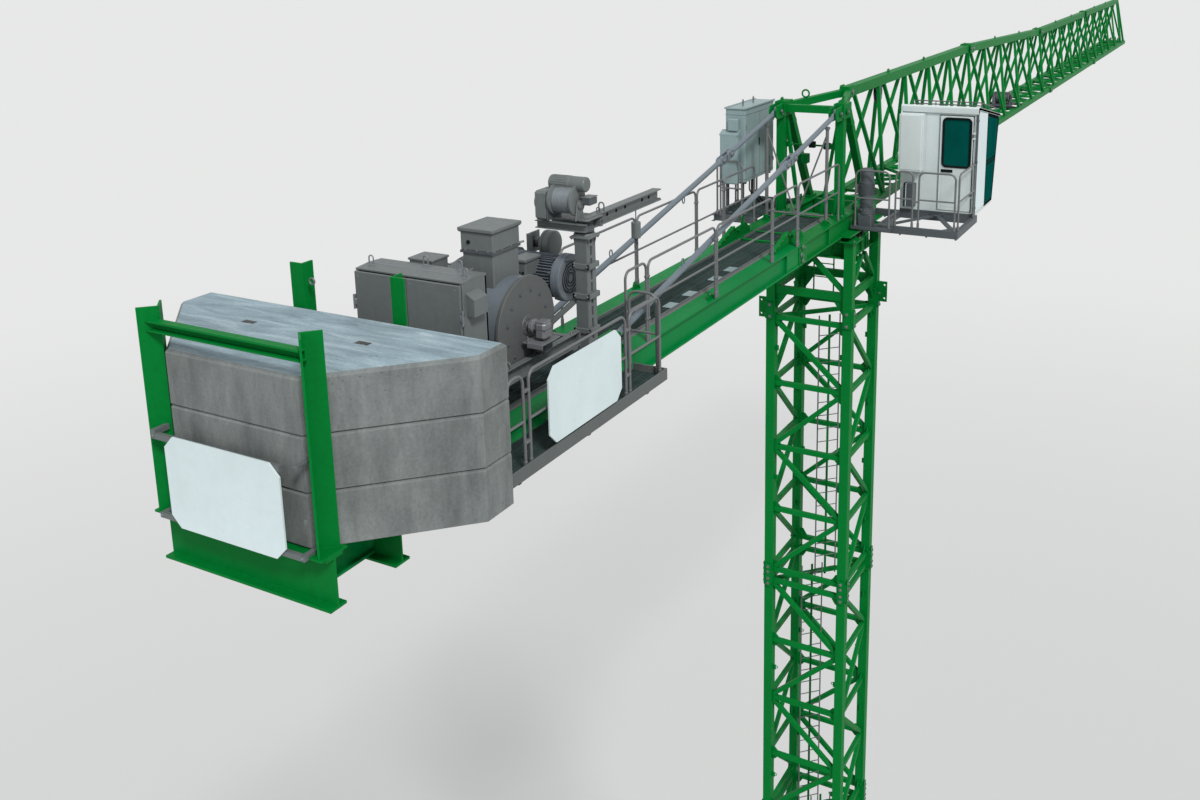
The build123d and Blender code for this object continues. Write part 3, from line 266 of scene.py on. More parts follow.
def concrete():
    t = Tree("cast_concrete")
    cloud = t.noise(1.7, 6.0, 0.62)
    grain = t.noise(70.0, 5.0, 0.7)
    streak = t.noise(3.6, 9.0, 0.72, stretch=(1.5, 1.5, 0.42))
    smear = t.noise(5.5, 4.0, 0.6, stretch=(0.5, 2.6, 2.0), distortion=0.6)
    # painted light: the sides get a streaked grey from the stains, the tops a lighter bluish grey that stands for sky
    # light falling on them
    side = t.ramp(streak, "Fac", [(0.30, srgb(72, 77, 77)), (0.50, srgb(94, 99, 99)), (0.70, srgb(112, 117, 116))])
    top = t.ramp(smear, "Fac", [(0.25, srgb(92, 107, 116)), (0.50, srgb(117, 135, 144)), (0.75, srgb(148, 163, 170))])
    geo = t.node("ShaderNodeNewGeometry")
    sep = t.node("ShaderNodeSeparateXYZ")
    t.link(geo, "Normal", sep, "Vector")
    # painted light mask: 1 on faces that look up, by the normal's Z
    painted_top_light = t.node("ShaderNodeMapRange")
    painted_top_light.inputs["From Min"].default_value = 0.80
    painted_top_light.inputs["From Max"].default_value = 0.95
    t.link(sep, "Z", painted_top_light, "Value")
    m1 = t.mix(painted_top_light, "Result", side, "Color", top, "Color")
    cl = t.ramp(cloud, "Fac", [(0.25, (0.68, 0.68, 0.68, 1)), (0.55, (0.97, 0.97, 0.97, 1)), (0.80, (1.14, 1.14, 1.14, 1))])
    m2 = t.node("ShaderNodeMix", data_type="RGBA", blend_type="MULTIPLY")
    i2 = {i.identifier: i for i in m2.inputs}
    i2["Factor_Float"].default_value = 0.75
    t.nt.links.new(t.mix_out(m1), i2["A_Color"])
    t.nt.links.new(cl.outputs["Color"], i2["B_Color"])
    gr = t.ramp(grain, "Fac", [(0.30, (0.72, 0.72, 0.72, 1)), (0.50, (0.98, 0.98, 0.98, 1)), (0.70, (1.16, 1.16, 1.16, 1))])
    m2b = t.node("ShaderNodeMix", data_type="RGBA", blend_type="MULTIPLY")
    i2b = {i.identifier: i for i in m2b.inputs}
    i2b["Factor_Float"].default_value = 0.6
    t.nt.links.new(t.mix_out(m2), i2b["A_Color"])
    t.nt.links.new(gr.outputs["Color"], i2b["B_Color"])
    # air holes, dented by the bump and coloured darker: the dark colour is painted shade inside them
    vor = t.node("ShaderNodeTexVoronoi")
    vor.inputs["Scale"].default_value = 26.0
    t.link(t.mapping((1, 1, 1)), "Vector", vor, "Vector")
    pit = t.node("ShaderNodeMapRange")
    pit.inputs["From Min"].default_value = 0.05
    pit.inputs["From Max"].default_value = 0.11
    pit.inputs["To Min"].default_value = 1.0
    pit.inputs["To Max"].default_value = 0.0
    t.link(vor, "Distance", pit, "Value")
    thin = t.node("ShaderNodeMapRange")
    thin.inputs["From Min"].default_value = 0.55
    thin.inputs["From Max"].default_value = 0.62
    t.link(cloud, "Fac", thin, "Value")
    pm = t.node("ShaderNodeMath", operation="MULTIPLY")
    t.nt.links.new(pit.outputs["Result"], pm.inputs[0])
    t.nt.links.new(thin.outputs["Result"], pm.inputs[1])
    m3 = t.node("ShaderNodeMix", data_type="RGBA")
    i3 = {i.identifier: i for i in m3.inputs}
    t.nt.links.new(pm.outputs[0], i3["Factor_Float"])
    t.nt.links.new(t.mix_out(m2b), i3["A_Color"])
    i3["B_Color"].default_value = srgb(62, 64, 63)
    em = edge_mask(t, 0.010)
    ef = t.node("ShaderNodeMath", operation="MULTIPLY")
    ef.inputs[1].default_value = 0.45
    t.nt.links.new(em.outputs["Result"], ef.inputs[0])
    m4 = t.node("ShaderNodeMix", data_type="RGBA")
    i4 = {i.identifier: i for i in m4.inputs}
    t.nt.links.new(ef.outputs[0], i4["Factor_Float"])
    t.nt.links.new(t.mix_out(m3), i4["A_Color"])
    i4["B_Color"].default_value = srgb(128, 132, 132)
    t.nt.links.new(t.mix_out(m4), t.bsdf.inputs["Base Color"])
    t.bsdf.inputs["Roughness"].default_value = 0.88
    add = t.node("ShaderNodeMath", operation="SUBTRACT")
    t.nt.links.new(grain.outputs["Fac"], add.inputs[0])
    t.nt.links.new(pm.outputs[0], add.inputs[1])
    bp = t.node("ShaderNodeBump")
    bp.inputs["Strength"].default_value = 0.5
    bp.inputs["Distance"].default_value = 0.003
    t.nt.links.new(add.outputs[0], bp.inputs["Height"])
    bev = t.node("ShaderNodeBevel", samples=4)
    bev.inputs["Radius"].default_value = 0.006
    t.nt.links.new(bev.outputs["Normal"], bp.inputs["Normal"])
    t.link(bp, "Normal", t.bsdf, "Normal")
    return t.mat


def glass_mat():
    t = Tree("tinted_glass")
    t.bsdf.inputs["Base Color"].default_value = srgb(8, 104, 92)
    t.bsdf.inputs["Roughness"].default_value = 0.06
    t.bsdf.inputs["IOR"].default_value = 1.45
    t.bsdf.inputs["Alpha"].default_value = 0.95
    t.bsdf.inputs["Specular IOR Level"].default_value = 0.0
    smear = t.noise(3.0, 4.0, 0.6, stretch=(1, 1, 0.5))
    rp = t.ramp(smear, "Fac", [(0.3, srgb(2, 60, 55)), (0.6, srgb(4, 70, 65)), (0.8, srgb(5, 80, 75))])
    t.link(rp, "Color", t.bsdf, "Base Color")
    return t.mat


GREEN = painted("green_paint_mat", srgb(0, 98, 38), rough=0.42, wear=0.30, grime=0.22, edge=srgb(10, 135, 60), spec=0.05, coat=0.0, dust=0.004)
# painted shade: a darker copy of the green paint, used for parts inside the mast and the tower head
GREEN_PAINTED_SHADE = painted("green_paint_painted_shade", srgb(0, 84, 34), rough=0.46, wear=0.28, grime=0.28, edge=srgb(10, 120, 54), spec=0.05, coat=0.0, dust=0.004)
GREEN_B = painted("green_beam_paint", srgb(0, 106, 50), rough=0.42, wear=0.30, grime=0.24, edge=srgb(14, 140, 70), spec=0.05, coat=0.0, dust=0.008)
GREY = painted("grey_paint_mat", srgb(85, 90, 91), rough=0.46, wear=0.35, grime=0.28, edge=srgb(118, 121, 122), spec=0.25, coat=0.05, dust=0.02)
GREY_D = painted("grey_paint_dark", srgb(62, 68, 72), rough=0.50, wear=0.35, grime=0.32, edge=srgb(98, 101, 104), spec=0.25, coat=0.05, dust=0.02)
GALV = painted("galvanised_mat", srgb(100, 107, 112), rough=0.48, wear=0.38, grime=0.32, edge=srgb(134, 140, 144), metallic=0.20, coat=0.03)
RAIL = painted("rail_paint", srgb(88, 90, 92), rough=0.44, wear=0.30, grime=0.28, edge=srgb(120, 122, 124), metallic=0.10, coat=0.05)
TIE = painted("tie_bar_paint", srgb(89, 99, 107), rough=0.42, wear=0.28, grime=0.22, edge=srgb(122, 132, 140), metallic=0.10, coat=0.05)
LIGHT = painted("light_grey_paint_mat", srgb(116, 134, 136), rough=0.42, wear=0.22, grime=0.20, edge=srgb(150, 166, 168), spec=0.25, coat=0.05, speck=0.20)
WHITE = painted("white_paint_mat", srgb(172, 181, 182), rough=0.38, wear=0.16, grime=0.08, edge=srgb(198, 204, 205), spec=0.30, coat=0.08, speck=0.10)
PLATE = painted("plate_white", srgb(181, 194, 197), rough=0.34, wear=0.12, grime=0.06, edge=srgb(206, 214, 217), spec=0.30, coat=0.08, speck=0.10)
STEEL = painted("bare_steel", srgb(96, 98, 100), rough=0.38, wear=0.45, grime=0.38, edge=srgb(146, 148, 150), metallic=0.5, coat=0.05)
BLACK = painted("black_rubber", srgb(20, 24, 24), rough=0.55, wear=0.20, grime=0.15, edge=srgb(40, 44, 44), spec=0.0, coat=0.0, dust=0.005)
DARK = painted("dark_grating", srgb(46, 62, 60), rough=0.58, wear=0.32, grime=0.36, edge=srgb(76, 90, 88), spec=0.2, coat=0.0, dust=0.02)
BLUEG = painted("drum_paint", srgb(86, 94, 101), rough=0.44, wear=0.28, grime=0.22, edge=srgb(112, 121, 128), spec=0.25, coat=0.05)
WALK = painted("walkway_strips", srgb(80, 84, 84), rough=0.55, wear=0.32, grime=0.36, edge=srgb(108, 111, 111), spec=0.2, coat=0.0, dust=0.02)
DISC = painted("brake_disc", srgb(74, 77, 77), rough=0.48, wear=0.12, grime=0.28, edge=srgb(92, 92, 91), spec=0.2, coat=0.0, dust=0.02)
SILVER = painted("cast_silver", srgb(96, 98, 102), rough=0.44, wear=0.32, grime=0.25, edge=srgb(132, 135, 139), metallic=0.15, coat=0.03)
MOTOR = painted("motor_paint", srgb(90, 98, 106), rough=0.44, wear=0.32, grime=0.26, edge=srgb(120, 128, 136), spec=0.25, coat=0.05)
CONC = concrete()
GLASS = glass_mat()


# ----------------------------------------------------------------------
# mesh building, all lengths in metres of the full-size crane
# ----------------------------------------------------------------------
class Piece:
    """Collects faces, then becomes one object."""

    def __init__(self, name, mats):
        self.name, self.mats = name, mats if isinstance(mats, (list, tuple)) else [mats]
        self.v, self.f, self.m = [], [], []

    def add(self, verts, faces, mat=0):
        o = len(self.v)
        self.v += [tuple(v) for v in verts]
        self.f += [tuple(i + o for i in f) for f in faces]
        self.m += [mat] * len(faces)

    # -- a box with chamfered edges, on given axes
    def obox(self, c, ax, ay, az, sx, sy, sz, b=0.004, mat=0):
        c = Vector(c)
        hx, hy, hz = sx / 2, sy / 2, sz / 2
        b = max(min(b, hx * 0.45, hy * 0.45, hz * 0.45), 1e-5)
        verts, idx = [], {}
        for kx in (-1, 1):
            for ky in (-1, 1):
                for kz in (-1, 1):
                    for a, (dx, dy, dz) in enumerate(((0, b, b), (b, 0, b), (b, b, 0))):
                        p = c + ax * (kx * (hx - dx)) + ay * (ky * (hy - dy)) + az * (kz * (hz - dz))
                        idx[(kx, ky, kz, a)] = len(verts)
                        verts.append(p)
        faces = []
        for s in (-1, 1):
            q = [(s, -1, -1, 0), (s, 1, -1, 0), (s, 1, 1, 0), (s, -1, 1, 0)]
            faces.append([idx[k] for k in (q if s > 0 else q[::-1])])
            q = [(-1, s, -1, 1), (-1, s, 1, 1), (1, s, 1, 1), (1, s, -1, 1)]
            faces.append([idx[k] for k in (q if s > 0 else q[::-1])])
            q = [(-1, -1, s, 2), (1, -1, s, 2), (1, 1, s, 2), (-1, 1, s, 2)]
            faces.append([idx[k] for k in (q if s > 0 else q[::-1])])
        for s in (-1, 1):
            for t in (-1, 1):
                q = [(s, t, -1, 0), (s, t, -1, 1), (s, t, 1, 1), (s, t, 1, 0)]
                faces.append([idx[k] for k in (q if s * t > 0 else q[::-1])])
                q = [(s, -1, t, 0), (s, 1, t, 0), (s, 1, t, 2), (s, -1, t, 2)]
                faces.append([idx[k] for k in (q if s * t > 0 else q[::-1])])
                q = [(-1, s, t, 1), (-1, s, t, 2), (1, s, t, 2), (1, s, t, 1)]
                faces.append([idx[k] for k in (q if s * t > 0 else q[::-1])])
        for kx in (-1, 1):
            for ky in (-1, 1):
                for kz in (-1, 1):
                    q = [(kx, ky, kz, 0), (kx, ky, kz, 1), (kx, ky, kz, 2)]
                    faces.append([idx[k] for k in (q if kx * ky * kz > 0 else q[::-1])])
        self.add(verts, faces, mat)

    def box(self, x0, x1, y0, y1, z0, z1, b=0.004, mat=0):
        self.obox(((x0 + x1) / 2, (y0 + y1) / 2, (z0 + z1) / 2), Vector((1, 0, 0)), Vector((0, 1, 0)), Vector((0, 0, 1)),
                  abs(x1 - x0), abs(y1 - y0), abs(z1 - z0), b, mat)

    def beam(self, p, q, w, h, b=0.004, upv=(0, 0, 1), mat=0):
        p, q = Vector(p), Vector(q)
        a = (q - p).normalized()
        s = a.cross(Vector(upv))
        if s.length < 1e-5:
            s = a.cross(Vector((0, 1, 0)))
        s.normalize()
        self.obox((p + q) / 2, a, -s, (-s).cross(a) * -1, (q - p).length, w, h, b, mat)

    def ring_faces(self, rings, closed_ring=True, cap=True, mat=0):
        """Skins a list of vertex rings of equal count."""
        n = len(rings[0])
        verts = [p for r in rings for p in r]
        faces = []
        for i in range(len(rings) - 1):
            for j in range(n if closed_ring else n - 1):
                k = (j + 1) % n
                faces.append((i * n + j, i * n + k, (i + 1) * n + k, (i + 1) * n + j))
        if cap:
            faces.append(tuple(range(n))[::-1])
            faces.append(tuple((len(rings) - 1) * n + j for j in range(n)))
        self.add(verts, faces, mat)

    def prism(self, prof, p, q, upv=(0, 0, 1), mat=0):
        """A section (side, up) carried from p to q."""
        p, q = Vector(p), Vector(q)
        a = (q - p).normalized()
        s = a.cross(Vector(upv))
        if s.length < 1e-5:
            s = a.cross(Vector((0, 1, 0)))
        s.normalize()
        u = s.cross(a)
        area = sum(prof[i][0] * prof[(i + 1) % len(prof)][1] - prof[(i + 1) % len(prof)][0] * prof[i][1]
                   for i in range(len(prof)))
        pr = prof if area < 0 else prof[::-1]
        self.ring_faces([[c + s * x + u * y for x, y in pr] for c in (p, q)], mat=mat)

    def rod(self, p, q, r, n=14, mat=0, r2=None, ch=0.0):
        p, q = Vector(p), Vector(q)
        a = (q - p).normalized()
        s = a.orthogonal().normalized()
        u = a.cross(s)
        prof = [(0.0, r), ((q - p).length, r2 if r2 is not None else r)]
        if ch:
            L = (q - p).length
            prof = [(0.0, r - ch), (ch, r), (L - ch, r), (L, r - ch)]
        rings = []
        for t, rad in prof:
            rings.append([p + a * t + (s * math.cos(2 * math.pi * j / n) + u * math.sin(2 * math.pi * j / n)) * rad
                          for j in range(n)])
        self.ring_faces(rings, mat=mat)

    def lathe(self, prof, origin, axis, n=48, mat=0, cap=True):
        """Turned part. prof is [(distance along the axis, radius), ...]."""
        o, a = Vector(origin), Vector(axis).normalized()
        s = a.orthogonal().normalized()
        u = a.cross(s)
        rings = [[o + a * t + (s * math.cos(2 * math.pi * j / n) + u * math.sin(2 * math.pi * j / n)) * max(r, 1e-4)
                  for j in range(n)] for t, r in prof]
        self.ring_faces(rings, cap=cap, mat=mat)

    def bolt(self, p, nrm, r=0.018, h=0.014, mat=0, washer=True):
        p, a = Vector(p), Vector(nrm).normalized()
        if washer:
            self.lathe([(0, r * 1.25), (h * 0.3, r * 1.25)], p, a, 12, mat)
        s = a.orthogonal().normalized()
        u = a.cross(s)
        ang = random.random()
        rings = []
        for t, k in ((0.0, 1.0), (h * 0.85, 1.0), (h, 0.86)):
            rings.append([p + a * (t + (h * 0.3 if washer else 0)) +
                          (s * math.cos(ang + math.pi * j / 3) + u * math.sin(ang + math.pi * j / 3)) * r * k for j in range(6)])
        self.ring_faces(rings, mat=mat)

    def pipe(self, pts, r, n=10, closed=False, mat=0):
        """Round bar along a path, kept square to it."""
        pts = [Vector(p) for p in pts]
        m = len(pts)
        tang = []
        for i in range(m):
            if closed:
                d = pts[(i + 1) % m] - pts[i - 1]
            else:
                d = pts[min(i + 1, m - 1)] - pts[max(i - 1, 0)]
            tang.append(d.normalized())
        s = tang[0].orthogonal().normalized()
        rings = []
        for i in range(m):
            s = (s - tang[i] * s.dot(tang[i])).normalized()
            u = tang[i].cross(s)
            rings.append([pts[i] + (s * math.cos(2 * math.pi * j / n) + u * math.sin(2 * math.pi * j / n)) * r for j in range(n)])
        if closed:
            rings.append(rings[0])
        self.ring_faces(rings, cap=not closed, mat=mat)

    def eye(self, p, axis, rad, r, mat=0, n=20):
        """A small closed ring round p, lying square to axis."""
        a = Vector(axis).normalized()
        s = a.orthogonal().normalized()
        u = a.cross(s)
        self.pipe([Vector(p) + (s * math.cos(2 * math.pi * j / n) + u * math.sin(2 * math.pi * j / n)) * rad for j in range(n)],
                  r, 8, True, mat)

    def uloop(self, p, side, upv, w, h, r, mat=0):
        """A lifting eye: an upright bent loop of bar."""
        p, s, u = Vector(p), Vector(side).normalized(), Vector(upv).normalized()
        path = [p - s * w / 2, p - s * w / 2 + u * (h - w / 2)]
        for k in range(1, 8):
            ang = math.pi - math.pi * k / 8
            path.append(p + u * (h - w / 2) + (s * math.cos(ang) + u * math.sin(ang)) * w / 2)
        path += [p + s * w / 2 + u * (h - w / 2), p + s * w / 2]
        self.pipe(path, r, 8, mat=mat)

    def plate(self, pts, origin, xd, yd, thick, b=0.003, mat=0):
        """A flat plate of outline pts in the plane (xd, yd), thickness towards xd x yd, with a small edge bevel."""
        o, xd, yd = Vector(origin), Vector(xd).normalized(), Vector(yd).normalized()
        nd = xd.cross(yd)
        area = sum(pts[i][0] * pts[(i + 1) % len(pts)][1] - pts[(i + 1) % len(pts)][0] * pts[i][1] for i in range(len(pts)))
        if area < 0:
            pts = pts[::-1]
        n = len(pts)
        cx, cy = sum(p[0] for p in pts) / n, sum(p[1] for p in pts) / n

        def inset(d):
            out = []
            for i in range(n):
                p0, p1, p2 = Vector(pts[i - 1]), Vector(pts[i]), Vector(pts[(i + 1) % n])
                e1, e2 = (p1 - p0).normalized(), (p2 - p1).normalized()
                n1, n2 = Vector((-e1.y, e1.x)), Vector((-e2.y, e2.x))
                bis = n1 + n2
                k = d / max((1 + n1.dot(n2)) / 2, 0.3) / 2 * 1.0
                out.append(p1 + bis * k)
            return out
        rings = []
        for t, ins in ((0, b), (b, 0), (thick - b, 0), (thick, b)):
            rings.append([o + xd * p[0] + yd * p[1] + nd * t for p in inset(ins)])
        self.ring_faces(rings, mat=mat)

    def done(self, body, replaces=(), sharp=0.55, bevel=None):
        me = bpy.data.meshes.new(self.name)
        me.from_pydata([(x * R, y * R, z * R) for x, y, z in self.v], [], self.f)
        for m in self.mats:
            me.materials.append(m)
        me.polygons.foreach_set("material_index", self.m)
        bm = bmesh.new()
        bm.from_mesh(me)
        bmesh.ops.remove_doubles(bm, verts=bm.verts, dist=1e-6)
        bmesh.ops.dissolve_degenerate(bm, dist=1e-6, edges=bm.edges)
        bmesh.ops.recalc_face_normals(bm, faces=bm.faces)
        for f in bm.faces:
            f.smooth = True
        for e in bm.edges:
            if len(e.link_faces) != 2 or e.calc_face_angle(0.0) > sharp:
                e.smooth = False
        bm.to_mesh(me)
        bm.free()
        me.update()
        ob = bpy.data.objects.new(self.name, me)
        scene.collection.objects.link(ob)
        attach(ob, body)
        if replaces:
            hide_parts(*replaces)
        return ob


def arc_path(pts, rad, seg=6):
    """A polyline with its corners rounded."""
    pts = [Vector(p) for p in pts]
    out = [pts[0]]
    for i in range(1, len(pts) - 1):
        a, b, c = pts[i - 1], pts[i], pts[i + 1]
        u, w = (a - b).normalized(), (c - b).normalized()
        half = u.angle(w) / 2
        d = min(rad / math.tan(half), (a - b).length * 0.48, (c - b).length * 0.48)
        r = d * math.tan(half)
        bis = (u + w).normalized()
        ctr = b + bis * (r / math.sin(half))
        s, e = b + u * d - ctr, b + w * d - ctr
        ang = s.angle(e)
        for k in range(seg + 1):
            t = k / seg
            out.append(ctr + (s * math.sin((1 - t) * ang) + e * math.sin(t * ang)) / math.sin(ang))
    out.append(pts[-1])
    return out


# rolled sections, as (side, up) outlines
def i_section(w, h, tf, tw):
    a, b = w / 2, h / 2
    return [(-a, -b), (a, -b), (a, -b + tf), (tw / 2, -b + tf * 1.25), (tw / 2, b - tf * 1.25), (a, b - tf), (a, b), (-a, b),
            (-a, b - tf), (-tw / 2, b - tf * 1.25), (-tw / 2, -b + tf * 1.25), (-a, -b + tf)]


def angle_section(a, b, t, fx=1, fy=1):
    p = [(0, 0), (a, 0), (a, t), (t * 1.3, t), (t, t * 1.3), (t, b), (0, b)]
    return [(x * fx, y * fy) for x, y in p]


def channel_section(w, h, t, fx=1):
    """Web upright at side 0, flanges towards fx."""
    p = [(0, -h / 2), (w, -h / 2), (w, -h / 2 + t), (t, -h / 2 + t), (t, h / 2 - t), (w, h / 2 - t), (w, h / 2), (0, h / 2)]
    return [(x * fx, y) for x, y in p]


def own(node, mat):
    """Gives a CAD node its finish."""
    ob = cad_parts[node]
    for s in range(max(len(ob.material_slots), 1)):
        if len(ob.material_slots) == 0:
            ob.data.materials.append(mat)
        else:
            ob.material_slots[s].material = mat


# ----------------------------------------------------------------------
# small builders
# ----------------------------------------------------------------------
EX, EY, EZ = Vector((1, 0, 0)), Vector((0, 1, 0)), Vector((0, 0, 1))


def rrect(w, h, r, n=5):
    """Rounded rectangle round the origin, counter-clockwise."""
    out = []
    for k, (sx, sy) in enumerate(((1, 1), (-1, 1), (-1, -1), (1, -1))):
        for i in range(n + 1):
            a = math.pi / 2 * (k + i / n)
            out.append((sx * (w / 2 - r) + r * math.cos(a), sy * (h / 2 - r) + r * math.sin(a)))
    return out


def frame_ring(P, c, xd, yd, w, h, r, iw, ih, ir, thick, mat=0, off=(0, 0)):
    """A flat frame with rounded corners and a rounded opening, thickness towards xd x yd."""
    c, xd, yd = Vector(c), Vector(xd).normalized(), Vector(yd).normalized()
    nd = xd.cross(yd)
    outer = [c + xd * x + yd * y for x, y in rrect(w, h, r)]
    inner = [c + xd * (x + off[0]) + yd * (y + off[1]) for x, y in rrect(iw, ih, ir)]
    t = nd * thick
    P.ring_faces([[p + t for p in outer], [p + t for p in inner], inner, outer, [p + t for p in outer]][::-1],
                 cap=False, mat=mat)


def hoop(P, axis, at, u0, u1, z0, z1, mids=(0.5,), r=0.018, mat=0, feet=True):
    """One railing panel of bent tube with a welded knee rail."""
    pt = (lambda u, z: Vector((at, u, z))) if axis == "x" else (lambda u, z: Vector((u, at, z)))
    a, b = u0 + r, u1 - r
    P.pipe(arc_path([pt(a, z0), pt(a, z1 - r), pt(b, z1 - r), pt(b, z0)], 0.112, 7), r, 12, mat=mat)
    for m in mids:
        z = z0 + (z1 - z0) * m
        P.pipe([pt(a, z), pt(b, z)], r * 0.86, 10, mat=mat)
    if feet:
        for u in (a, b):
            P.rod(pt(u, z0), pt(u, z0 + 0.10), r * 1.32, 12, mat, ch=0.004)


def clamps(P, axis, at, us, z0, z1, mat=0):
    """Double clips that join neighbouring railing posts."""
    for u in us:
        for m in (0.28, 0.80):
            z = z0 + (z1 - z0) * m
            if axis == "x":
                P.box(at - 0.024, at + 0.024, u - 0.045, u + 0.045, z - 0.016, z + 0.016, 0.006, mat)
                P.bolt((at + 0.024, u, z), (1, 0, 0), 0.009, 0.010, mat)
            else:
                P.box(u - 0.045, u + 0.045, at - 0.024, at + 0.024, z - 0.016, z + 0.016, 0.006, mat)
                P.bolt((u, at - 0.024, z), (0, -1, 0), 0.009, 0.010, mat)


def grating(P, x0, x1, y0, y1, z, h=0.030, pitch=0.036, cross=0.10, t=0.005, mat=0):
    """Open bar grating: bearing bars across, twisted rods along, and a flat rim."""
    n = max(int(round((y1 - y0) / pitch)), 1)
    for i in range(1, n):
        y = y0 + (y1 - y0) * i / n
        P.box(x0, x1, y - t / 2, y + t / 2, z - h, z, 0.0008, mat)
    m = max(int(round((x1 - x0) / cross)), 1)
    for i in range(1, m):
        x = x0 + (x1 - x0) * i / m
        P.box(x - t / 2, x + t / 2, y0, y1, z - 0.012, z + 0.001, 0.0008, mat)
    for x in (x0, x1 - t):
        P.box(x, x + t, y0, y1, z - h, z + 0.002, 0.001, mat)
    for y in (y0, y1 - t):
        P.box(x0, x1, y, y + t, z - h, z + 0.002, 0.001, mat)


def arc_pts(cy, cz, r, a0, a1, n):
    return [(cy + r * math.cos(math.radians(a0 + (a1 - a0) * i / n)), cz + r * math.sin(math.radians(a0 + (a1 - a0) * i / n)))
            for i in range(n + 1)]


def yz_plate(P, pts, x0, x1, b=0.004, mat=0):
    P.plate(pts, (x0, 0, 0), EY, EZ, x1 - x0, b, mat)


def xz_plate(P, pts, y0, y1, b=0.004, mat=0):
    P.plate([(x, z) for x, z in pts], (0, y1, 0), EX, EZ, y1 - y0, b, mat)


# ----------------------------------------------------------------------
# mast
# ----------------------------------------------------------------------
LEG_IN, MAST_OUT, LEG_C, SEC = 0.695, 0.875, 0.785, 5.8
HORIZ = [0.12, 1.5025, 2.885, 4.2675, 5.65]

P = Piece("mast_fish_plates", [GREEN, STEEL])
for k in range(1, 6):
    z = SEC * k
    for sx in (-1, 1):
        for sy in (-1, 1):
            for nrm, tan in ((Vector((sx, 0, 0)), EY), (Vector((0, sy, 0)), EX)):
                c = Vector((sx * LEG_C, sy * LEG_C, z)) + nrm * (0.09 + 0.015)
                P.obox(c + nrm * 0.008, nrm, tan, EZ, 0.016, 0.125, 0.52 if k < 5 else 0.34, 0.006)
                for dz in ((-0.19, -0.075, 0.075, 0.19) if k < 5 else (-0.12, 0.12)):
                    P.bolt(c + nrm * 0.015 + EZ * dz, nrm, 0.026, 0.022, 1)
            # bolt bosses on the inner sides of the leg
            for nrm in (Vector((-sx, 0, 0)), Vector((0, -sy, 0))):
                for dz in (-0.24, 0.22):
                    c = Vector((sx * LEG_C, sy * LEG_C, z + dz)) + nrm * 0.09
                    P.obox(c + nrm * 0.018, nrm, EZ.cross(nrm), EZ, 0.036, 0.12, 0.035, 0.006)
P.done("mast")

P = Piece("mast_gussets", GREEN)
for k in range(5):
    z5 = SEC * k
    for s in (-1, 1):
        for xd, org, inplane in ((EX, Vector((0, s * LEG_C, 0)), "x"), (EY, Vector((s * LEG_C, 0, 0)), "y")):
            for i, h in enumerate(HORIZ):
                for t in (-1, 1):
                    z = z5 + h
                    top = i == 4
                    lo, hi = (-0.20, 0.07) if top else ((-0.04, 0.20) if i == 0 else (-0.15, 0.15))
                    pts = [(t * LEG_IN, z + lo), (t * (LEG_IN - 0.055), z + lo), (t * (LEG_IN - 0.15), z - 0.045),
                           (t * (LEG_IN - 0.15), z + 0.045), (t * (LEG_IN - 0.055), z + hi), (t * LEG_IN, z + hi)]
                    nd = xd.cross(EZ)
                    P.plate(pts, org - nd * 0.009 + nd * (0.045 if nd.dot(org) > 0 else -0.045) * 0.0, xd, EZ, 0.018, 0.003)
P.done("mast")

P = Piece("mast_leg_fittings", [GREEN, GALV])
for k in range(5):
    for j, z in enumerate((0.95, 2.2, 3.6, 5.0)):
        zz = SEC * k + z
        for sx, sy in ((-1, 1), (1, -1), (1, 1), (-1, -1)):
            d = Vector((-sx, 0, 0)) if (j + k) % 2 else Vector((0, -sy, 0))
            c = Vector((sx * LEG_C, sy * LEG_C, zz)) + d * 0.09
            P.obox(c + d * 0.03, d, EZ.cross(d), EZ, 0.06, 0.03, 0.11, 0.006)
            if j % 2 == 0:
                P.eye(c + d * 0.075 + EZ * 0.01, EZ.cross(d), 0.026, 0.007, 0)
P.done("mast")

P = Piece("ladder_rails", [GREY, GREEN_PAINTED_SHADE, GALV])
for k in range(5):
    s = 1 if k % 2 == 0 else -1
    z0 = SEC * k - 0.27 if k else 0.05
    z1 = SEC * (k + 1) + (0.06 if k < 4 else -0.27)
    d, n = s * 0.17, -s * 0.045
    u, w = Vector((1, 1, 0)).normalized(), Vector((1, -1, 0)).normalized()
    o = u * d + w * n
    for t in (-0.23, 0.23):
        P.beam(o + u * t + EZ * z0, o + u * t + EZ * z1, 0.022, 0.030, 0.005, upv=w, mat=0)
    # centre rail in the darker green: painted shade inside the mast
    P.beam(o + EZ * z0 - w * 0.004, o + EZ * z1 - w * 0.004, 0.045, 0.024, 0.006, upv=w, mat=1)
    steps = int((z1 - z0 - 0.3) / 0.29) + 1
    for i in range(steps):
        z = z0 + 0.15 + 0.29 * i
        P.rod(o - u * 0.235 + EZ * z, o + u * 0.235 + EZ * z, 0.0095, 8, 0)
        for t in (-0.15, 0.15):
            P.rod(o + u * (t - 0.004) + EZ * z, o + u * (t + 0.004) + EZ * z, 0.0115, 8, 2)
    # clips that hold it to the struts
    for h in (HORIZ[4],):
        z = SEC * k + h
        if z < z1:
            P.obox(o * 0.6 + EZ * (z + 0.005), u, w, EZ, 0.12, 0.10, 0.03, 0.005, 2)
P.done("mast", replaces=["mast_ladder"])

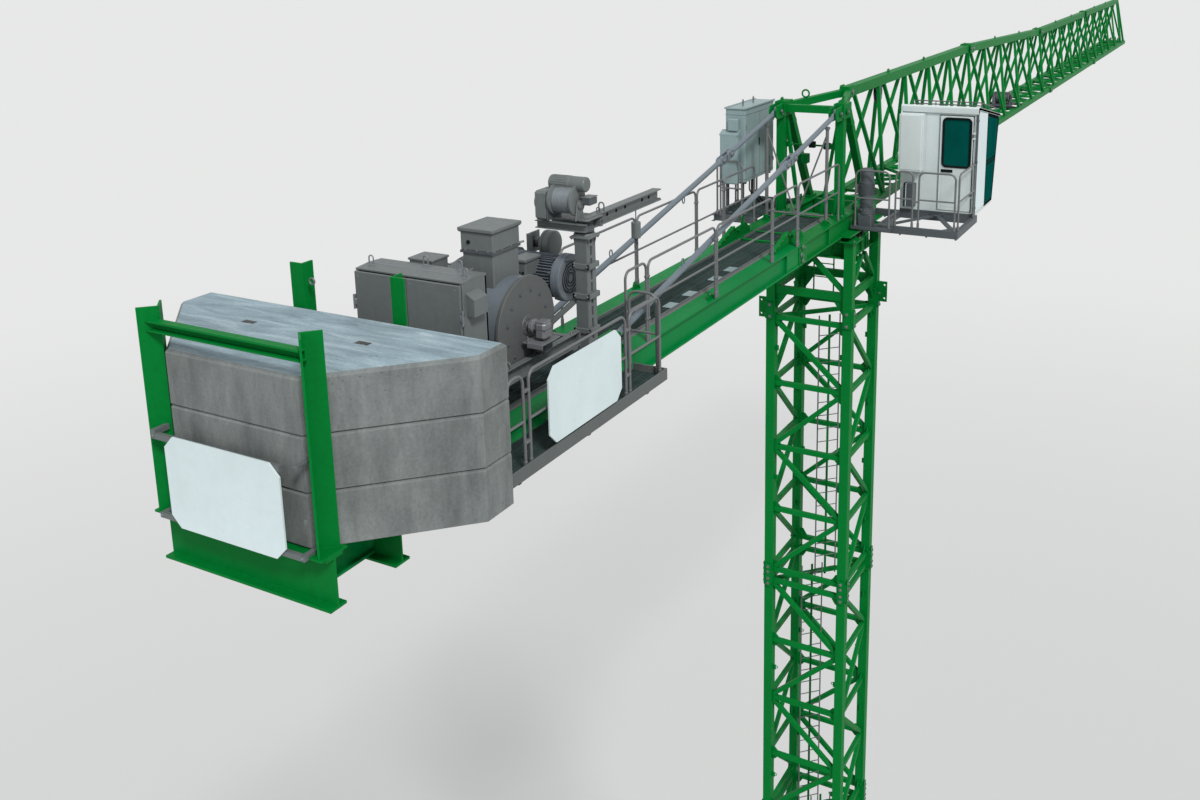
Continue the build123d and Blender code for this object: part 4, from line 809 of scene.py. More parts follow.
P = Piece("head_fittings", [GREEN, STEEL])
for i in range(36):
    a = 2 * math.pi * (i + 0.5) / 36
    P.bolt((0.800 * math.cos(a), 0.800 * math.sin(a), 30.54), (0, 0, 1), 0.015, 0.018, 1)
for sx in (-1, 1):
    for sy in (-1, 1):
        for dx, dy in ((0.62, 0.56), (0.90, 0.56), (0.62, 0.90), (0.90, 0.90)):
            P.bolt((sx * dx, sy * dy, 30.57), (0, 0, 1), 0.020, 0.020, 1)
        P.obox((sx * 0.76, sy * 0.76, 30.50), EX, EY, EZ, 0.20, 0.20, 0.02, 0.004, 0)
for i in range(24):
    a = 2 * math.pi * i / 24
    P.obox((0.845 * math.cos(a), 0.845 * math.sin(a), 30.37), Vector((math.cos(a), math.sin(a), 0)),
           Vector((-math.sin(a), math.cos(a), 0)), EZ, 0.03, 0.014, 0.26, 0.003, 0)
P.lathe([(0, 0.83), (0, 0.852), (0.022, 0.852), (0.022, 0.83)], (0, 0, 30.505), EZ, 64, 0, cap=False)
P.done("mast")

P = Piece("ring_gear", [STEEL, GALV])
n = 96
rings = []
for z in (30.405, 30.47):
    rings.append([Vector(((0.705 if (j // 2) % 2 else 0.688) * math.cos(2 * math.pi * j / (2 * n)),
                          (0.705 if (j // 2) % 2 else 0.688) * math.sin(2 * math.pi * j / (2 * n)), z)) for j in range(2 * n)])
rings_in = [[Vector((0.56 * math.cos(2 * math.pi * j / (2 * n)), 0.56 * math.sin(2 * math.pi * j / (2 * n)), z)) for j in range(2 * n)]
            for z in (30.405, 30.47)]
P.ring_faces([rings[0], rings[1], rings_in[1], rings_in[0], rings[0]], cap=False)
P.lathe([(0, 0.56), (0, 0.672), (0.042, 0.672), (0.05, 0.664), (0.05, 0.56), (0, 0.56)], (0, 0, 30.47), EZ, 96, 0, cap=False)
for i in range(36):
    a = 2 * math.pi * i / 36
    P.bolt((0.62 * math.cos(a), 0.62 * math.sin(a), 30.518), (0, 0, 1), 0.015, 0.014, 1)
P.done("mast", replaces=["slewing_ring"])

# ----------------------------------------------------------------------
# railings
# ----------------------------------------------------------------------
P = Piece("rail_tubes_left", RAIL)
L = ((-8.75, -6.573), (-6.555, -4.457), (-4.439, -3.342), (-3.324, -1.95))
for a, b in L:
    hoop(P, "x", -0.68, a, b, 31.03, 32.13)
clamps(P, "x", -0.68, [(L[i][1] + L[i + 1][0]) / 2 for i in range(3)], 31.03, 32.13)
P.done("slewing", replaces=["railing_left"])

P = Piece("rail_tubes_right", RAIL)
L = ((-9.38, -8.785), (-8.767, -6.636), (-6.618, -4.466), (-4.448, -3.322), (-3.304, -1.195))
for a, b in L:
    hoop(P, "x", 0.68, a, b, 31.03, 32.13)
clamps(P, "x", 0.68, [(L[i][1] + L[i + 1][0]) / 2 for i in range(4)], 31.03, 32.13)
P.done("slewing", replaces=["railing_right"])

P = Piece("rail_tubes_side", RAIL)
L = ((-12.82, -12.50), (-12.43, -10.35), (-10.29, -9.48))
for a, b in L:
    hoop(P, "x", 1.225, a, b, 30.86, 31.93)
hoop(P, "y", -9.45, 0.76, 1.18, 30.86, 31.93)
clamps(P, "x", 1.225, [(L[i][1] + L[i + 1][0]) / 2 for i in range(2)], 30.86, 31.93)
for z in (31.34, 31.62):
    P.box(1.243, 1.279, -12.10, -10.65, z - 0.018, z + 0.018, 0.004)
    for y in (-12.02, -11.0, -10.73):
        P.box(1.20, 1.25, y - 0.018, y + 0.018, z - 0.014, z + 0.014, 0.004)
P.done("slewing", replaces=["railing_side"])

P = Piece("rail_tubes_cab", RAIL)
for a, b in ((1.478, 1.836), (1.914, 2.62)):
    hoop(P, "y", -0.335, a, b, 30.82, 31.90)
hoop(P, "y", -0.53, 0.767, 1.454, 30.80, 31.90)
hoop(P, "x", 2.655, -0.29, 0.955, 30.82, 31.90)
P.box(1.83, 1.92, -0.345, -0.325, 31.30, 31.33, 0.004)
P.done("slewing", replaces=["railing_cab"])

P = Piece("rail_tubes_cabinet", RAIL)
hoop(P, "x", -1.515, -1.80, -0.90, 31.07, 32.15)
hoop(P, "x", -1.515, -0.83, 0.16, 31.07, 32.15)
hoop(P, "y", -1.815, -1.45, -0.98, 31.07, 32.15)
clamps(P, "x", -1.515, [-0.865], 31.07, 32.15)
P.done("slewing", replaces=["railing_cabinet"])

# ----------------------------------------------------------------------
# walkway and platforms
# ----------------------------------------------------------------------
P = Piece("walkway_grating", [DARK, WALK, LIGHT])
y = -12.20
while y < -3.40:
    y2 = min(y + 1.48, -3.32)
    grating(P, -0.362, 0.362, y, y2 - 0.012, 31.03, 0.028, 0.034, 0.12)
    y = y2
grating(P, -0.362, 0.362, -3.17, -2.10, 31.03, 0.028, 0.034, 0.12)
grating(P, -0.362, 0.362, -2.09, -1.00, 31.03, 0.028, 0.034, 0.12)
for s in (-1, 1):
    for a, b in ((-12.20, -3.32), (-3.17, -1.00)):
        P.box(s * 0.364 if s > 0 else -0.385, 0.385 if s > 0 else -0.364, a, b, 31.00, 31.07, 0.003, 1)
        # inclined kick strip beside the beam
        P.beam((s * 0.405, a, 31.035), (s * 0.405, b, 31.035), 0.05, 0.010, 0.002, (s * 0.5, 0, 1), 1)
for k in range(9):
    yy = -12.1 + 1.05 * k
    P.prism(angle_section(0.05, 0.06, 0.006, 1, -1), (-0.47, yy - 0.025, 30.995), (0.47, yy - 0.025, 30.995), mat=1)
# painted light: thin light plates laid on the grating as bright patches
for yy in (-6.62, -7.26, -5.72, -5.13):
    P.box(0.17, 0.34, yy - 0.13, yy + 0.13, 31.032, 31.037, 0.001, 2)
P.done("slewing", replaces=["walkway"])

P = Piece("side_platform_grating", [DARK, WALK, GREY])
for a, b in ((-12.83, -11.24), (-11.22, -10.63), (-10.41, -9.42)):
    grating(P, 0.715, 1.25, a, b, 30.86, 0.028, 0.034, 0.13)
grating(P, 0.915, 1.25, -10.63, -10.41, 30.86, 0.028, 0.034, 0.13)
P.box(1.258, 1.28, -12.85, -9.40, 30.80, 30.95, 0.004, 1)
P.box(0.80, 1.258, -9.422, -9.40, 30.80, 30.95, 0.004, 1)
P.box(0.80, 1.258, -12.85, -12.828, 30.80, 30.95, 0.004, 1)
for yy in (-12.60, -11.20, -9.80):
    P.prism(channel_section(0.05, 0.07, 0.007, 1), (0.66, yy - 0.025, 30.793), (1.24, yy - 0.025, 30.793), mat=2)
P.done("slewing", replaces=["side_platform"])

P = Piece("cabinet_platform_frame", [GREY_D, DARK, STEEL])
P.prism(channel_section(0.06, 0.12, 0.009, 1), (-0.706, -1.78, 31.01), (-1.55, -1.78, 31.01))
P.prism(channel_section(0.06, 0.12, 0.009, 1), (-1.55, 0.13, 31.01), (-0.706, 0.13, 31.01))
P.prism(channel_section(0.06, 0.12, 0.009, 1), (-1.55, 0.20, 31.01), (-1.55, -1.85, 31.01))
P.box(-1.50, -0.706, -0.86, -0.80, 30.95, 31.05, 0.005)
grating(P, -1.49, -0.735, -1.77, -0.86, 31.07, 0.028, 0.036, 0.12, mat=1)
grating(P, -1.49, -0.735, -0.80, 0.12, 31.07, 0.028, 0.036, 0.12, mat=1)
P.box(-1.555, -1.545, -1.84, 0.19, 31.07, 31.13, 0.002)
for yy in (-1.81, 0.16, -0.83):
    P.box(-0.735, -0.706, yy - 0.07, yy + 0.07, 30.94, 31.07, 0.004)
P.done("slewing", replaces=["cabinet_platform"])

P = Piece("cab_platform_fittings", [GREY_D, STEEL])
for x in (0.90, 1.19, 1.60, 2.10, 2.64):
    for yy in (-0.335, 1.02):
        P.bolt((x, yy, 30.682), (0, 0, -1), 0.020, 0.022, 1)
P.box(1.225, 2.605, -0.298, -0.29, 30.69, 30.81, 0.003)
P.plate([(1.225, -0.29), (1.50, -0.29), (1.225, 0.10)], (0, 0, 30.800), EX, EY, 0.012, 0.002)
P.plate([(2.605, -0.29), (2.605, 0.10), (2.33, -0.29)], (0, 0, 30.800), EX, EY, 0.012, 0.002)
P.plate([(1.80, 0.975), (2.10, 0.975), (1.95, 0.80)], (0, 0, 30.806), EX, EY, 0.010, 0.002)
for x in (1.225, 2.60):
    P.box(x, x + 0.006, 0.2, 0.8, 30.70, 30.80, 0.001)
P.done("slewing")

# ----------------------------------------------------------------------
# tie bars and their stand
# ----------------------------------------------------------------------
def tie_z(y):
    return 31.25 + (33.02 - 31.25) / (9.62 - 1.13) * (y + 9.62)


P = Piece("tie_rods", [TIE, STEEL, GALV])
A = Vector((0, 1, (33.02 - 31.25) / (9.62 - 1.13))).normalized()
N = EX.cross(A)
for s in (-1, 1):
    x = s * 0.58
    pt = lambda y: Vector((x, y, tie_z(y)))
    for a, b in ((-9.44, -3.78), (-3.22, -1.33)):
        P.lathe([(0, 0.030), (0.04, 0.044), (0.05, 0.045), ((pt(b) - pt(a)).length - 0.05, 0.045),
                 ((pt(b) - pt(a)).length - 0.04, 0.044), ((pt(b) - pt(a)).length, 0.030)], pt(a), A, 24, 0)
    # flattened eyes at both ends
    for y, q in ((-9.62, 1), (-1.13, -1)):
        P.obox(pt(y) + A * q * 0.12, A, EX, N, 0.24, 0.060, 0.12, 0.014, 0)
        P.lathe([(-0.038, 0.080), (-0.032, 0.086), (0.032, 0.086), (0.038, 0.080)], pt(y), EX, 28, 0)
        P.rod(pt(y) - EX * 0.085, pt(y) + EX * 0.085, 0.030, 16, 1, ch=0.005)
    # coupling: two cheeks, two pins
    c = pt(-3.50)
    for q in (-1, 1):
        P.obox(c + A * q * 0.19, A, EX, N, 0.20, 0.056, 0.125, 0.012, 0)
        P.lathe([(0, 0.045), (0.05, 0.052), (0.09, 0.060)], c + A * q * 0.36, -A * q, 20, 0)
        P.plate([(-0.27, -0.045), (-0.22, -0.068), (0.22, -0.068), (0.27, -0.045), (0.27, 0.045), (0.22, 0.068), (-0.22, 0.068),
                 (-0.27, 0.045)], c + EX * q * 0.043 - EX * 0.012, A, N, 0.024, 0.004, 0)
        for d in (-0.16, 0.16):
            P.lathe([(0, 0.042), (0.022, 0.042), (0.028, 0.036)], c + A * d + EX * q * 0.055, EX * q, 18, 2)
            P.bolt(c + A * d + EX * q * 0.080, EX * q, 0.018, 0.014, 1)
        P.obox(c + EX * q * 0.062, A, EX, N, 0.045, 0.014, 0.13, 0.004, 2)
    # small hook eyes
    P.uloop(pt(-7.50) + N * 0.040, A, N, 0.075, 0.10, 0.010, 0)
    P.uloop(pt(-5.15) - N * 0.040, A, -N, 0.075, 0.10, 0.010, 0)
P.done("slewing", replaces=["tie_bars"])

P = Piece("tie_stand_tubes", [RAIL, GREEN])
for s in (-1, 1):
    x = s * 0.58
    P.rod((x, -1.60, 31.03), (x, -1.60, 32.84), 0.030, 16, 0, ch=0.004)
    P.box(x - 0.07, x + 0.07, -1.68, -1.52, 31.03, 31.05, 0.004, 1)
    P.box(x - 0.05, x + 0.05, -1.66, -1.64, 31.05, 31.13, 0.004, 1)
    P.box(x - 0.05, x + 0.05, -1.56, -1.54, 31.05, 31.13, 0.004, 1)
    P.rod((x - 0.06, -1.60, 31.10), (x + 0.06, -1.60, 31.10), 0.014, 10, 0)
    P.pipe([(x - s * 0.02, -1.60, 32.66), (x * 0.5, -1.60, 31.93), (s * 0.03, -1.60, 31.21)], 0.016, 10)
    P.lathe([(0, 0.040), (0.02, 0.050), (0.05, 0.050)], (x, -1.60, 32.79), EZ, 16, 0)
P.rod((-0.58, -1.60, 31.19), (0.58, -1.60, 31.19), 0.019, 14)
P.obox((0, -1.60, 31.20), EX, EY, EZ, 0.14, 0.03, 0.07, 0.006)
P.done("slewing", replaces=["tie_bar_stand"])

# ----------------------------------------------------------------------
# green lugs, pins and brackets on the deck and the counter-jib
# ----------------------------------------------------------------------
P = Piece("counterjib_fittings", [GREEN, STEEL, GALV])


def small_lug(x, y, z, mat=0):
    P.plate([(y - 0.075, z), (y + 0.075, z), (y + 0.06, z + 0.06), (y + 0.03, z + 0.115), (y - 0.03, z + 0.115),
             (y - 0.06, z + 0.06)], (x - 0.012, 0, 0), EY, EZ, 0.024, 0.003, mat)
    P.plate([(x - 0.05, z), (x + 0.05, z), (x + 0.03, z + 0.05), (x - 0.03, z + 0.05)], (0, y + 0.09, 0), EX, EZ, 0.012, 0.002, mat)
    P.rod((x - 0.022, y, z + 0.078), (x + 0.022, y, z + 0.078), 0.020, 12, 1)


for s in (-1, 1):
    for y in (-6.74, -12.95, -0.15, 0.30):
        small_lug(s * 0.62, y, 31.03)
    small_lug(s * 0.50, -9.25, 31.03)
    # tie bar pins
    for y in (-9.62,):
        for q in (-1, 1):
            P.lathe([(0, 0.055), (0.012, 0.055), (0.016, 0.050)], (s * 0.58 + q * 0.075, y, tie_z(y)), (q, 0, 0), 20, 2)
            P.bolt((s * 0.58 + q * 0.090, y, tie_z(y)), (q, 0, 0), 0.022, 0.016, 1)
    P.box(s * 0.44 if s > 0 else -0.72, 0.72 if s > 0 else -0.44, -9.84, -9.42, 31.03, 31.045, 0.004, 0)
    # joint pins with round heads
    for y, z in ((-3.095, 30.965), (-3.155, 30.84), (-3.095, 30.72)):
        P.lathe([(0, 0.036), (0, 0.044), (0.020, 0.044), (0.026, 0.036)], (s * 0.70, y, z), (s, 0, 0), 20, 2)
        P.lathe([(0, 0.020), (0.012, 0.020), (0.016, 0.014)], (s * 0.726, y, z), (s, 0, 0), 14, 1)
    # kinked end of the joint cheek
    yz = [(-3.84, 30.69), (-3.80, 30.78), (-3.83, 30.92), (-3.86, 31.0), (-3.82, 31.0), (-3.79, 30.92), (-3.76, 30.78), (-3.80, 30.69)]
    P.plate(yz, (s * 0.686 - 0.008, 0, 0), EY, EZ, 0.016, 0.002)
    # sloping guide bar on the joint bracket, held by small pins
    P.beam((s * 0.50, -4.05, 31.055), (s * 0.50, -3.36, 31.265), 0.070, 0.045, 0.008)
    for j in range(4):
        yy = -3.96 + 0.17 * j
        P.rod((s * 0.455, yy, 31.055 + (yy + 4.05) * 0.304), (s * 0.545, yy, 31.055 + (yy + 4.05) * 0.304), 0.012, 10, 1)
    P.rod((s * 0.44, -3.32, 31.22), (s * 0.56, -3.32, 31.22), 0.028, 14, 0, ch=0.004)
    P.rod((s * 0.44, -3.17, 31.17), (s * 0.56, -3.17, 31.17), 0.028, 14, 0, ch=0.004)
    P.plate([(-2.98, 31.03), (-2.90, 31.03), (-2.86, 31.34), (-2.92, 31.36)], (s * 0.52 - 0.012, 0, 0), EY, EZ, 0.024, 0.003)
    P.eye((s * 0.52, -2.885, 31.33), (1, 0, 0), 0.035, 0.012, 0)
    P.box(s * 0.45 if s > 0 else -0.55, 0.55 if s > 0 else -0.45, -3.10, -2.70, 31.03, 31.045, 0.004, 0)
    # clips under the counter-jib beams
    for y in (-14.285, -15.14):
        for q in (-1, 1):
            P.box(s * 0.565 + q * 0.17 - 0.03, s * 0.565 + q * 0.17 + 0.03, y - 0.09, y + 0.09, 31.03 if y > -15 else 31.03, 31.05, 0.004, 0)
for y in (-8.0, -4.6):
    P.box(-0.48, 0.48, y - 0.02, y + 0.02, 30.72, 30.80, 0.004, 0)
P.done("slewing")

P = Piece("walkway_cross_bars", GREEN)
for y in (-3.25, -2.62, -1.15):
    P.box(-0.46, 0.46, y - 0.028, y + 0.028, 31.035, 31.055, 0.005)
P.done("slewing")

# ----------------------------------------------------------------------
# tower head
# ----------------------------------------------------------------------
P = Piece("tower_head_fittings", [GREEN, STEEL, GREEN_PAINTED_SHADE, BLACK])
for s in (-1, 1):
    x = s * 0.58
    # forks that take the tie bars
    for q in (-1, 1):
        xx = x + q * 0.0625
        P.plate([(-1.34, 32.93), (-1.26, 32.88), (-0.98, 32.88), (-0.94, 32.94), (-0.94, 33.15), (-1.04, 33.16), (-1.30, 33.12),
                 (-1.36, 33.06)], (xx - 0.014, 0, 0), EY, EZ, 0.028, 0.004)
        P.lathe([(0, 0.062), (0.014, 0.062), (0.018, 0.056)], (xx + q * 0.014, -1.13, 33.02), (q, 0, 0), 24, 2)
        P.lathe([(0, 0.034), (0.020, 0.034), (0.026, 0.026)], (xx + q * 0.030, -1.13, 33.02), (q, 0, 0), 18, 1)
        P.bolt((xx + q * 0.014, -1.00, 32.94), (q, 0, 0), 0.016, 0.014, 1)
        # side plates of the node
        P.plate([(-1.00, 32.90), (-0.60, 32.90), (-0.56, 33.02), (-0.60, 33.16), (-0.97, 33.18), (-1.01, 33.10)],
                (x + q * 0.094 - 0.008, 0, 0), EY, EZ, 0.016, 0.003)
    P.lathe([(0, 0.060), (0.03, 0.060), (0.036, 0.052)], (x + s * 0.10, -0.86, 33.03), (s, 0, 0), 24, 2)
    P.bolt((x + s * 0.13, -0.86, 33.03), (s, 0, 0), 0.030, 0.018, 1)
    P.box(x - 0.07, x + 0.07, -0.98, -0.78, 33.175, 33.195, 0.004)
    P.plate([(-0.95, 33.19), (-0.81, 33.19), (-0.84, 33.25), (-0.92, 33.25)], (x - 0.012, 0, 0), EY, EZ, 0.024, 0.003)
    # post feet
    for dx in (-0.10, 0.10):
        for yy in (-0.985, -0.755):
            P.bolt((x + dx, yy, 31.07), (0, 0, 1), 0.018, 0.018, 1)
    for q in (-1, 1):
        P.plate([(x + q * 0.08, 31.07), (x + q * 0.115, 31.07), (x + q * 0.08, 31.28)], (0, -0.87 + 0.008, 0), EX, EZ, 0.016, 0.002)
    P.plate([(-1.005, 31.07), (-0.95, 31.07), (-0.95, 31.30)], (x - 0.008, 0, 0), EY, EZ, 0.016, 0.002)
    # splice plates of the raking strut
    d = Vector((0, 0.70 + 0.55, 31.03 - 33.05)).normalized()
    nd = EX.cross(d)
    for t in (0.16, 0.84):
        c = Vector((x, -0.55, 33.05)) + d * (t * 2.375)
        P.obox(c, EX, d, nd, 0.142, 0.10, 0.152, 0.006)
    for yy in (0.62, 0.78):
        P.bolt((x + s * 0.0, yy, 31.07), (0, 0, 1), 0.016, 0.016, 1)
# lifting eye on the left top member
for c, h in (((-0.36, -0.20, 33.155), 0.17),):
    P.box(c[0] - 0.012, c[0] + 0.012, c[1] - 0.06, c[1] + 0.06, 33.12, 33.17, 0.003)
    P.eye((c[0], c[1], c[2] + 0.092), (0, 1, 0), 0.070, 0.017, 0, 28)
P.box(0.50, 0.60, -0.80, -0.70, 33.17, 33.22, 0.006)
P.eye((0.555, -0.68, 33.26), (1, 0, 0), 0.036, 0.012, 0)
# apex block between head and jib
P.plate([(1.04, 33.02), (1.31, 33.02), (1.33, 33.10), (1.30, 33.27), (1.08, 33.27), (1.03, 33.18)], (-0.112, 0, 0), EY, EZ, 0.020, 0.003)
P.plate([(1.04, 33.02), (1.31, 33.02), (1.33, 33.10), (1.30, 33.27), (1.08, 33.27), (1.03, 33.18)], (0.092, 0, 0), EY, EZ, 0.020, 0.003)
for q in (-1, 1):
    P.lathe([(0, 0.050), (0.02, 0.050), (0.026, 0.042)], (q * 0.112, 1.18, 33.14), (q, 0, 0), 20, 1)
# junction boxes and brackets seen inside the head; the green box and rod take the darker green, painted shade
P.box(-0.24, -0.10, -0.76, -0.62, 31.98, 32.16, 0.010, 2)
P.box(-0.06, 0.06, -0.82, -0.74, 32.30, 32.42, 0.008, 3)
P.box(0.22, 0.34, -0.80, -0.70, 32.28, 32.40, 0.008, 3)
P.rod((-0.46, -0.80, 32.35), (0.40, -0.80, 32.35), 0.018, 12, 2)
P.box(-0.50, -0.44, -0.84, -0.76, 32.30, 32.40, 0.004, 2)
P.box(0.36, 0.42, -0.84, -0.76, 32.30, 32.40, 0.004, 2)
P.done("slewing")

# slewing drive
P = Piece("slewing_drive", [GREY_D, GREY, STEEL])
c = (0.937, -0.32)
P.obox((c[0], c[1], 30.86), EX, EY, EZ, 0.27, 0.27, 0.32, 0.02)
P.obox((c[0], c[1], 30.715), EX, EY, EZ, 0.30, 0.30, 0.028, 0.004)
P.lathe([(31.00, 0.110), (31.02, 0.150), (31.10, 0.150), (31.105, 0.128), (31.16, 0.125), (31.165, 0.136), (31.18, 0.136),
         (31.185, 0.125), (31.33, 0.125), (31.335, 0.142), (31.37, 0.142), (31.375, 0.136), (31.60, 0.136), (31.605, 0.142),
         (31.635, 0.142), (31.64, 0.130), (31.84, 0.130), (31.856, 0.122), (31.872, 0.104), (31.886, 0.098), (31.886, 0.02)],
        (c[0], c[1], 0), EZ, 40)
for i in range(36):
    a = 2 * math.pi * i / 36
    u = Vector((math.cos(a), math.sin(a), 0))
    P.obox(Vector((c[0], c[1], 31.487)) + u * 0.138, u, EZ.cross(u), EZ, 0.018, 0.007, 0.21, 0.001)
for i in range(12):
    a = 2 * math.pi * i / 12
    P.bolt((c[0] + 0.138 * math.cos(a), c[1] + 0.138 * math.sin(a), 31.10), (0, 0, 1), 0.010, 0.012, 2)
    if i % 2 == 0:
        P.bolt((c[0] + 0.112 * math.cos(a), c[1] + 0.112 * math.sin(a), 31.846), (0, 0, 1), 0.008, 0.008, 2)
P.obox((0.785, -0.32, 31.48), EX, EY, EZ, 0.07, 0.12, 0.16, 0.012, 1)
P.obox((0.757, -0.32, 31.48), EX, EY, EZ, 0.012, 0.13, 0.17, 0.003, 1)
P.rod((0.78, -0.32, 31.36), (0.78, -0.32, 31.41), 0.014, 10, 2)
P.box(0.706, 0.81, -0.44, -0.20, 30.72, 30.80, 0.006)
P.done("slewing", replaces=["slewing_motor"])

# ----------------------------------------------------------------------
# switch cabinet with two doors
# ----------------------------------------------------------------------
P = Piece("switch_cabinet_case", [GREY, GREY_D, GALV, BLACK])
Y0, Y1 = -12.74, -12.325
P.box(-0.70, 0.70, Y0 + 0.001, Y1, 31.10, 31.15, 0.006)
P.box(-0.70, -0.66, Y0, Y1, 31.10, 32.85, 0.008)
P.box(0.66, 0.70, Y0, Y1, 31.10, 32.85, 0.008)
P.box(-0.70, 0.70, Y1 - 0.04, Y1, 31.10, 32.85, 0.008)
# roof: shallow ridge with drip edge, and a painted highlight: a light strip along the ridge
P.ring_faces([[Vector((x, -12.740, 32.845)), Vector((x, -12.742, 32.862)), Vector((x, -12.53, 32.878)), Vector((x, -12.325, 32.868)),
               Vector((x, -12.325, 32.845))] for x in (0.700, 0.694, -0.694, -0.700)])
# painted highlight: light strip laid along the roof ridge
P.box(-0.66, 0.66, -12.550, -12.535, 32.872, 32.880, 0.001, 2)
for x, y in ((-0.60, -12.60), (0.64, -12.60), (-0.05, -12.37), (0.40, -12.37)):
    P.uloop((x, y, 32.872), (1, 0, 0), (0, 0, 1), 0.060, 0.105, 0.0075, 2)
    P.box(x - 0.045, x + 0.045, y - 0.015, y + 0.015, 32.868, 32.880, 0.002, 2)
# small vent hood with a sloping top
P.ring_faces([[Vector((0.70, y, 32.50)), Vector((0.80, y, 32.50)), Vector((0.80, y, 32.68)), Vector((0.70, y, 32.74))]
              for y in (-12.69, -12.685, -12.465, -12.46)])
for z in (31.45, 32.50):
    for s in (-1, 1):
        for a, b in ((z - 0.08, z - 0.032), (z + 0.032, z + 0.08)):
            P.rod((s * 0.715, -12.78, a), (s * 0.715, -12.78, b), 0.012, 12, 2)
            P.box(s * 0.706 - 0.006, s * 0.706 + 0.006, -12.78, -12.73, a, b, 0.002)
for s in (-1, 1):
    P.box(s * 0.59 - 0.07, s * 0.59 + 0.07, -12.70, -12.34, 31.03, 31.10, 0.006, 1)
    for yy in (-12.65, -12.39):
        P.bolt((s * 0.59, yy, 31.05), (s, 0, 0), 0.012, 0.080, 2)
P.done("slewing", replaces=["switch_cabinet"])

for label, s in (("left", -1), ("right", 1)):
    P = Piece("cabinet_leaf_" + label, [GREY, GALV, BLACK])
    xa, xb = (0.004, 0.692) if s > 0 else (-0.692, -0.004)
    P.box(xa, xb, -12.780, -12.752, 31.11, 32.84, 0.007)
    # folded edge, rubber seal behind
    P.box(xa + 0.02, xb - 0.02, -12.753, -12.749, 31.13, 32.82, 0.001, 2)
    for z in (31.45, 32.50):
        P.rod((s * 0.715, -12.78, z - 0.03), (s * 0.715, -12.78, z + 0.03), 0.012, 12, 1)
        P.box(min(s * 0.68, s * 0.715), max(s * 0.68, s * 0.715), -12.788, -12.776, z - 0.03, z + 0.03, 0.003, 1)
    if s > 0:
        P.box(0.046, 0.080, -12.792, -12.779, 31.93, 32.12, 0.006, 1)
        P.box(0.055, 0.070, -12.805, -12.79, 31.95, 32.05, 0.005, 2)
        P.lathe([(0, 0.013), (0.010, 0.013), (0.013, 0.010)], (0.063, -12.791, 32.09), (0, -1, 0), 14, 2)
    for z in (31.16, 32.79):
        for x in (xa + 0.05, xb - 0.05):
            P.lathe([(0, 0.009), (0.003, 0.009), (0.004, 0.006)], (x, -12.779, z), (0, -1, 0), 10, 1)
    P.done("switch_cabinet_door_" + label, replaces=["switch_cabinet_door_" + label])

# ----------------------------------------------------------------------
# hoist winch
# ----------------------------------------------------------------------
DY, DZ = -11.61, 32.09
P = Piece("winch_housing", [GREY, GREY_D, STEEL, BLACK])
# gear housing: a full disc on a squared foot, with a raised rim
prof = [(DY - 0.56, 31.75)] + [(y, z) for y, z in arc_pts(DY, DZ, 0.56, 200, -20, 44)] + [(DY + 0.56, 31.75)]
prof = prof[::-1]
yz_plate(P, prof, -0.745, -0.575, 0.010)
yz_plate(P, prof, -0.60, -0.562, 0.004)
P.lathe([(0, 0.53), (0.010, 0.525), (0.014, 0.49), (0.014, 0.28), (0.03, 0.26), (0.05, 0.19), (0.05, 0.02)], (-0.745, DY, DZ), (-1, 0, 0), 64, 1)
for i in range(18):
    a = 2 * math.pi * i / 18
    if math.sin(a) * 0.50 + DZ > 31.72:
        P.bolt((-0.752, DY + 0.50 * math.cos(a), DZ + 0.50 * math.sin(a)), (-1, 0, 0), 0.016, 0.014, 2)


def arc_shell(r0, r1, a0, a1, x0, x1, n=48, mat=0):
    """A rolled sheet round the drum's axis, of radius r0 to r1, between two angles."""
    rings = []
    for k in range(n + 1):
        a = math.radians(a0 + (a1 - a0) * k / n)
        c, q = math.cos(a), math.sin(a)
        rings.append([Vector((x, DY + r * c, DZ + r * q)) for x, r in ((x0, r0), (x1, r0), (x1, r1), (x0, r1))])
    P.ring_faces(rings, mat=mat)


# drum cover: a rolled sheet over the right part, with low side walls beside it
arc_shell(0.632, 0.698, 191.5, -11.5, -0.118, 0.198)
arc_shell(0.628, 0.710, 191.5, -11.5, 0.172, 0.203)
for q in (-1, 1):
    P.box(-0.575, -0.12, min(DY + q * 0.632, DY + q * 0.698), max(DY + q * 0.632, DY + q * 0.698), 31.95, 32.118, 0.005)
# tall box with a flange and an overhanging lid
P.box(0.07, 0.47, -11.88, -11.39, 32.40, 32.93, 0.008)
P.box(0.050, 0.490, -11.90, -11.37, 32.915, 32.945, 0.003, 1)
P.box(0.058, 0.482, -11.892, -11.378, 32.945, 33.16, 0.008)
P.box(0.035, 0.505, -11.915, -11.355, 33.158, 33.198, 0.006, 0)
P.box(0.045, 0.495, -11.905, -11.365, 33.148, 33.160, 0.002, 1)
for x in (0.055, 0.485):
    for yy in (-11.86, -11.72, -11.55, -11.41):
        P.bolt((x, yy, 32.945), (0, 0, 1), 0.009, 0.010, 2)
for x in (0.12, 0.27, 0.42):
    P.bolt((x, -11.896, 32.945), (0, 0, 1), 0.009, 0.010, 2)
P.lathe([(0, 0.022), (0.012, 0.022), (0.02, 0.014)], (0.165, -11.892, 33.04), (0, -1, 0), 16, 3)
P.rod((0.488, -11.40, 32.955), (0.53, -11.36, 32.965), 0.012, 10, 2)
# small box on the rear of the cover
P.box(-0.36, -0.04, -12.27, -12.00, 32.40, 32.88, 0.008)
P.box(-0.37, -0.03, -12.28, -11.99, 32.876, 32.900, 0.004, 0)
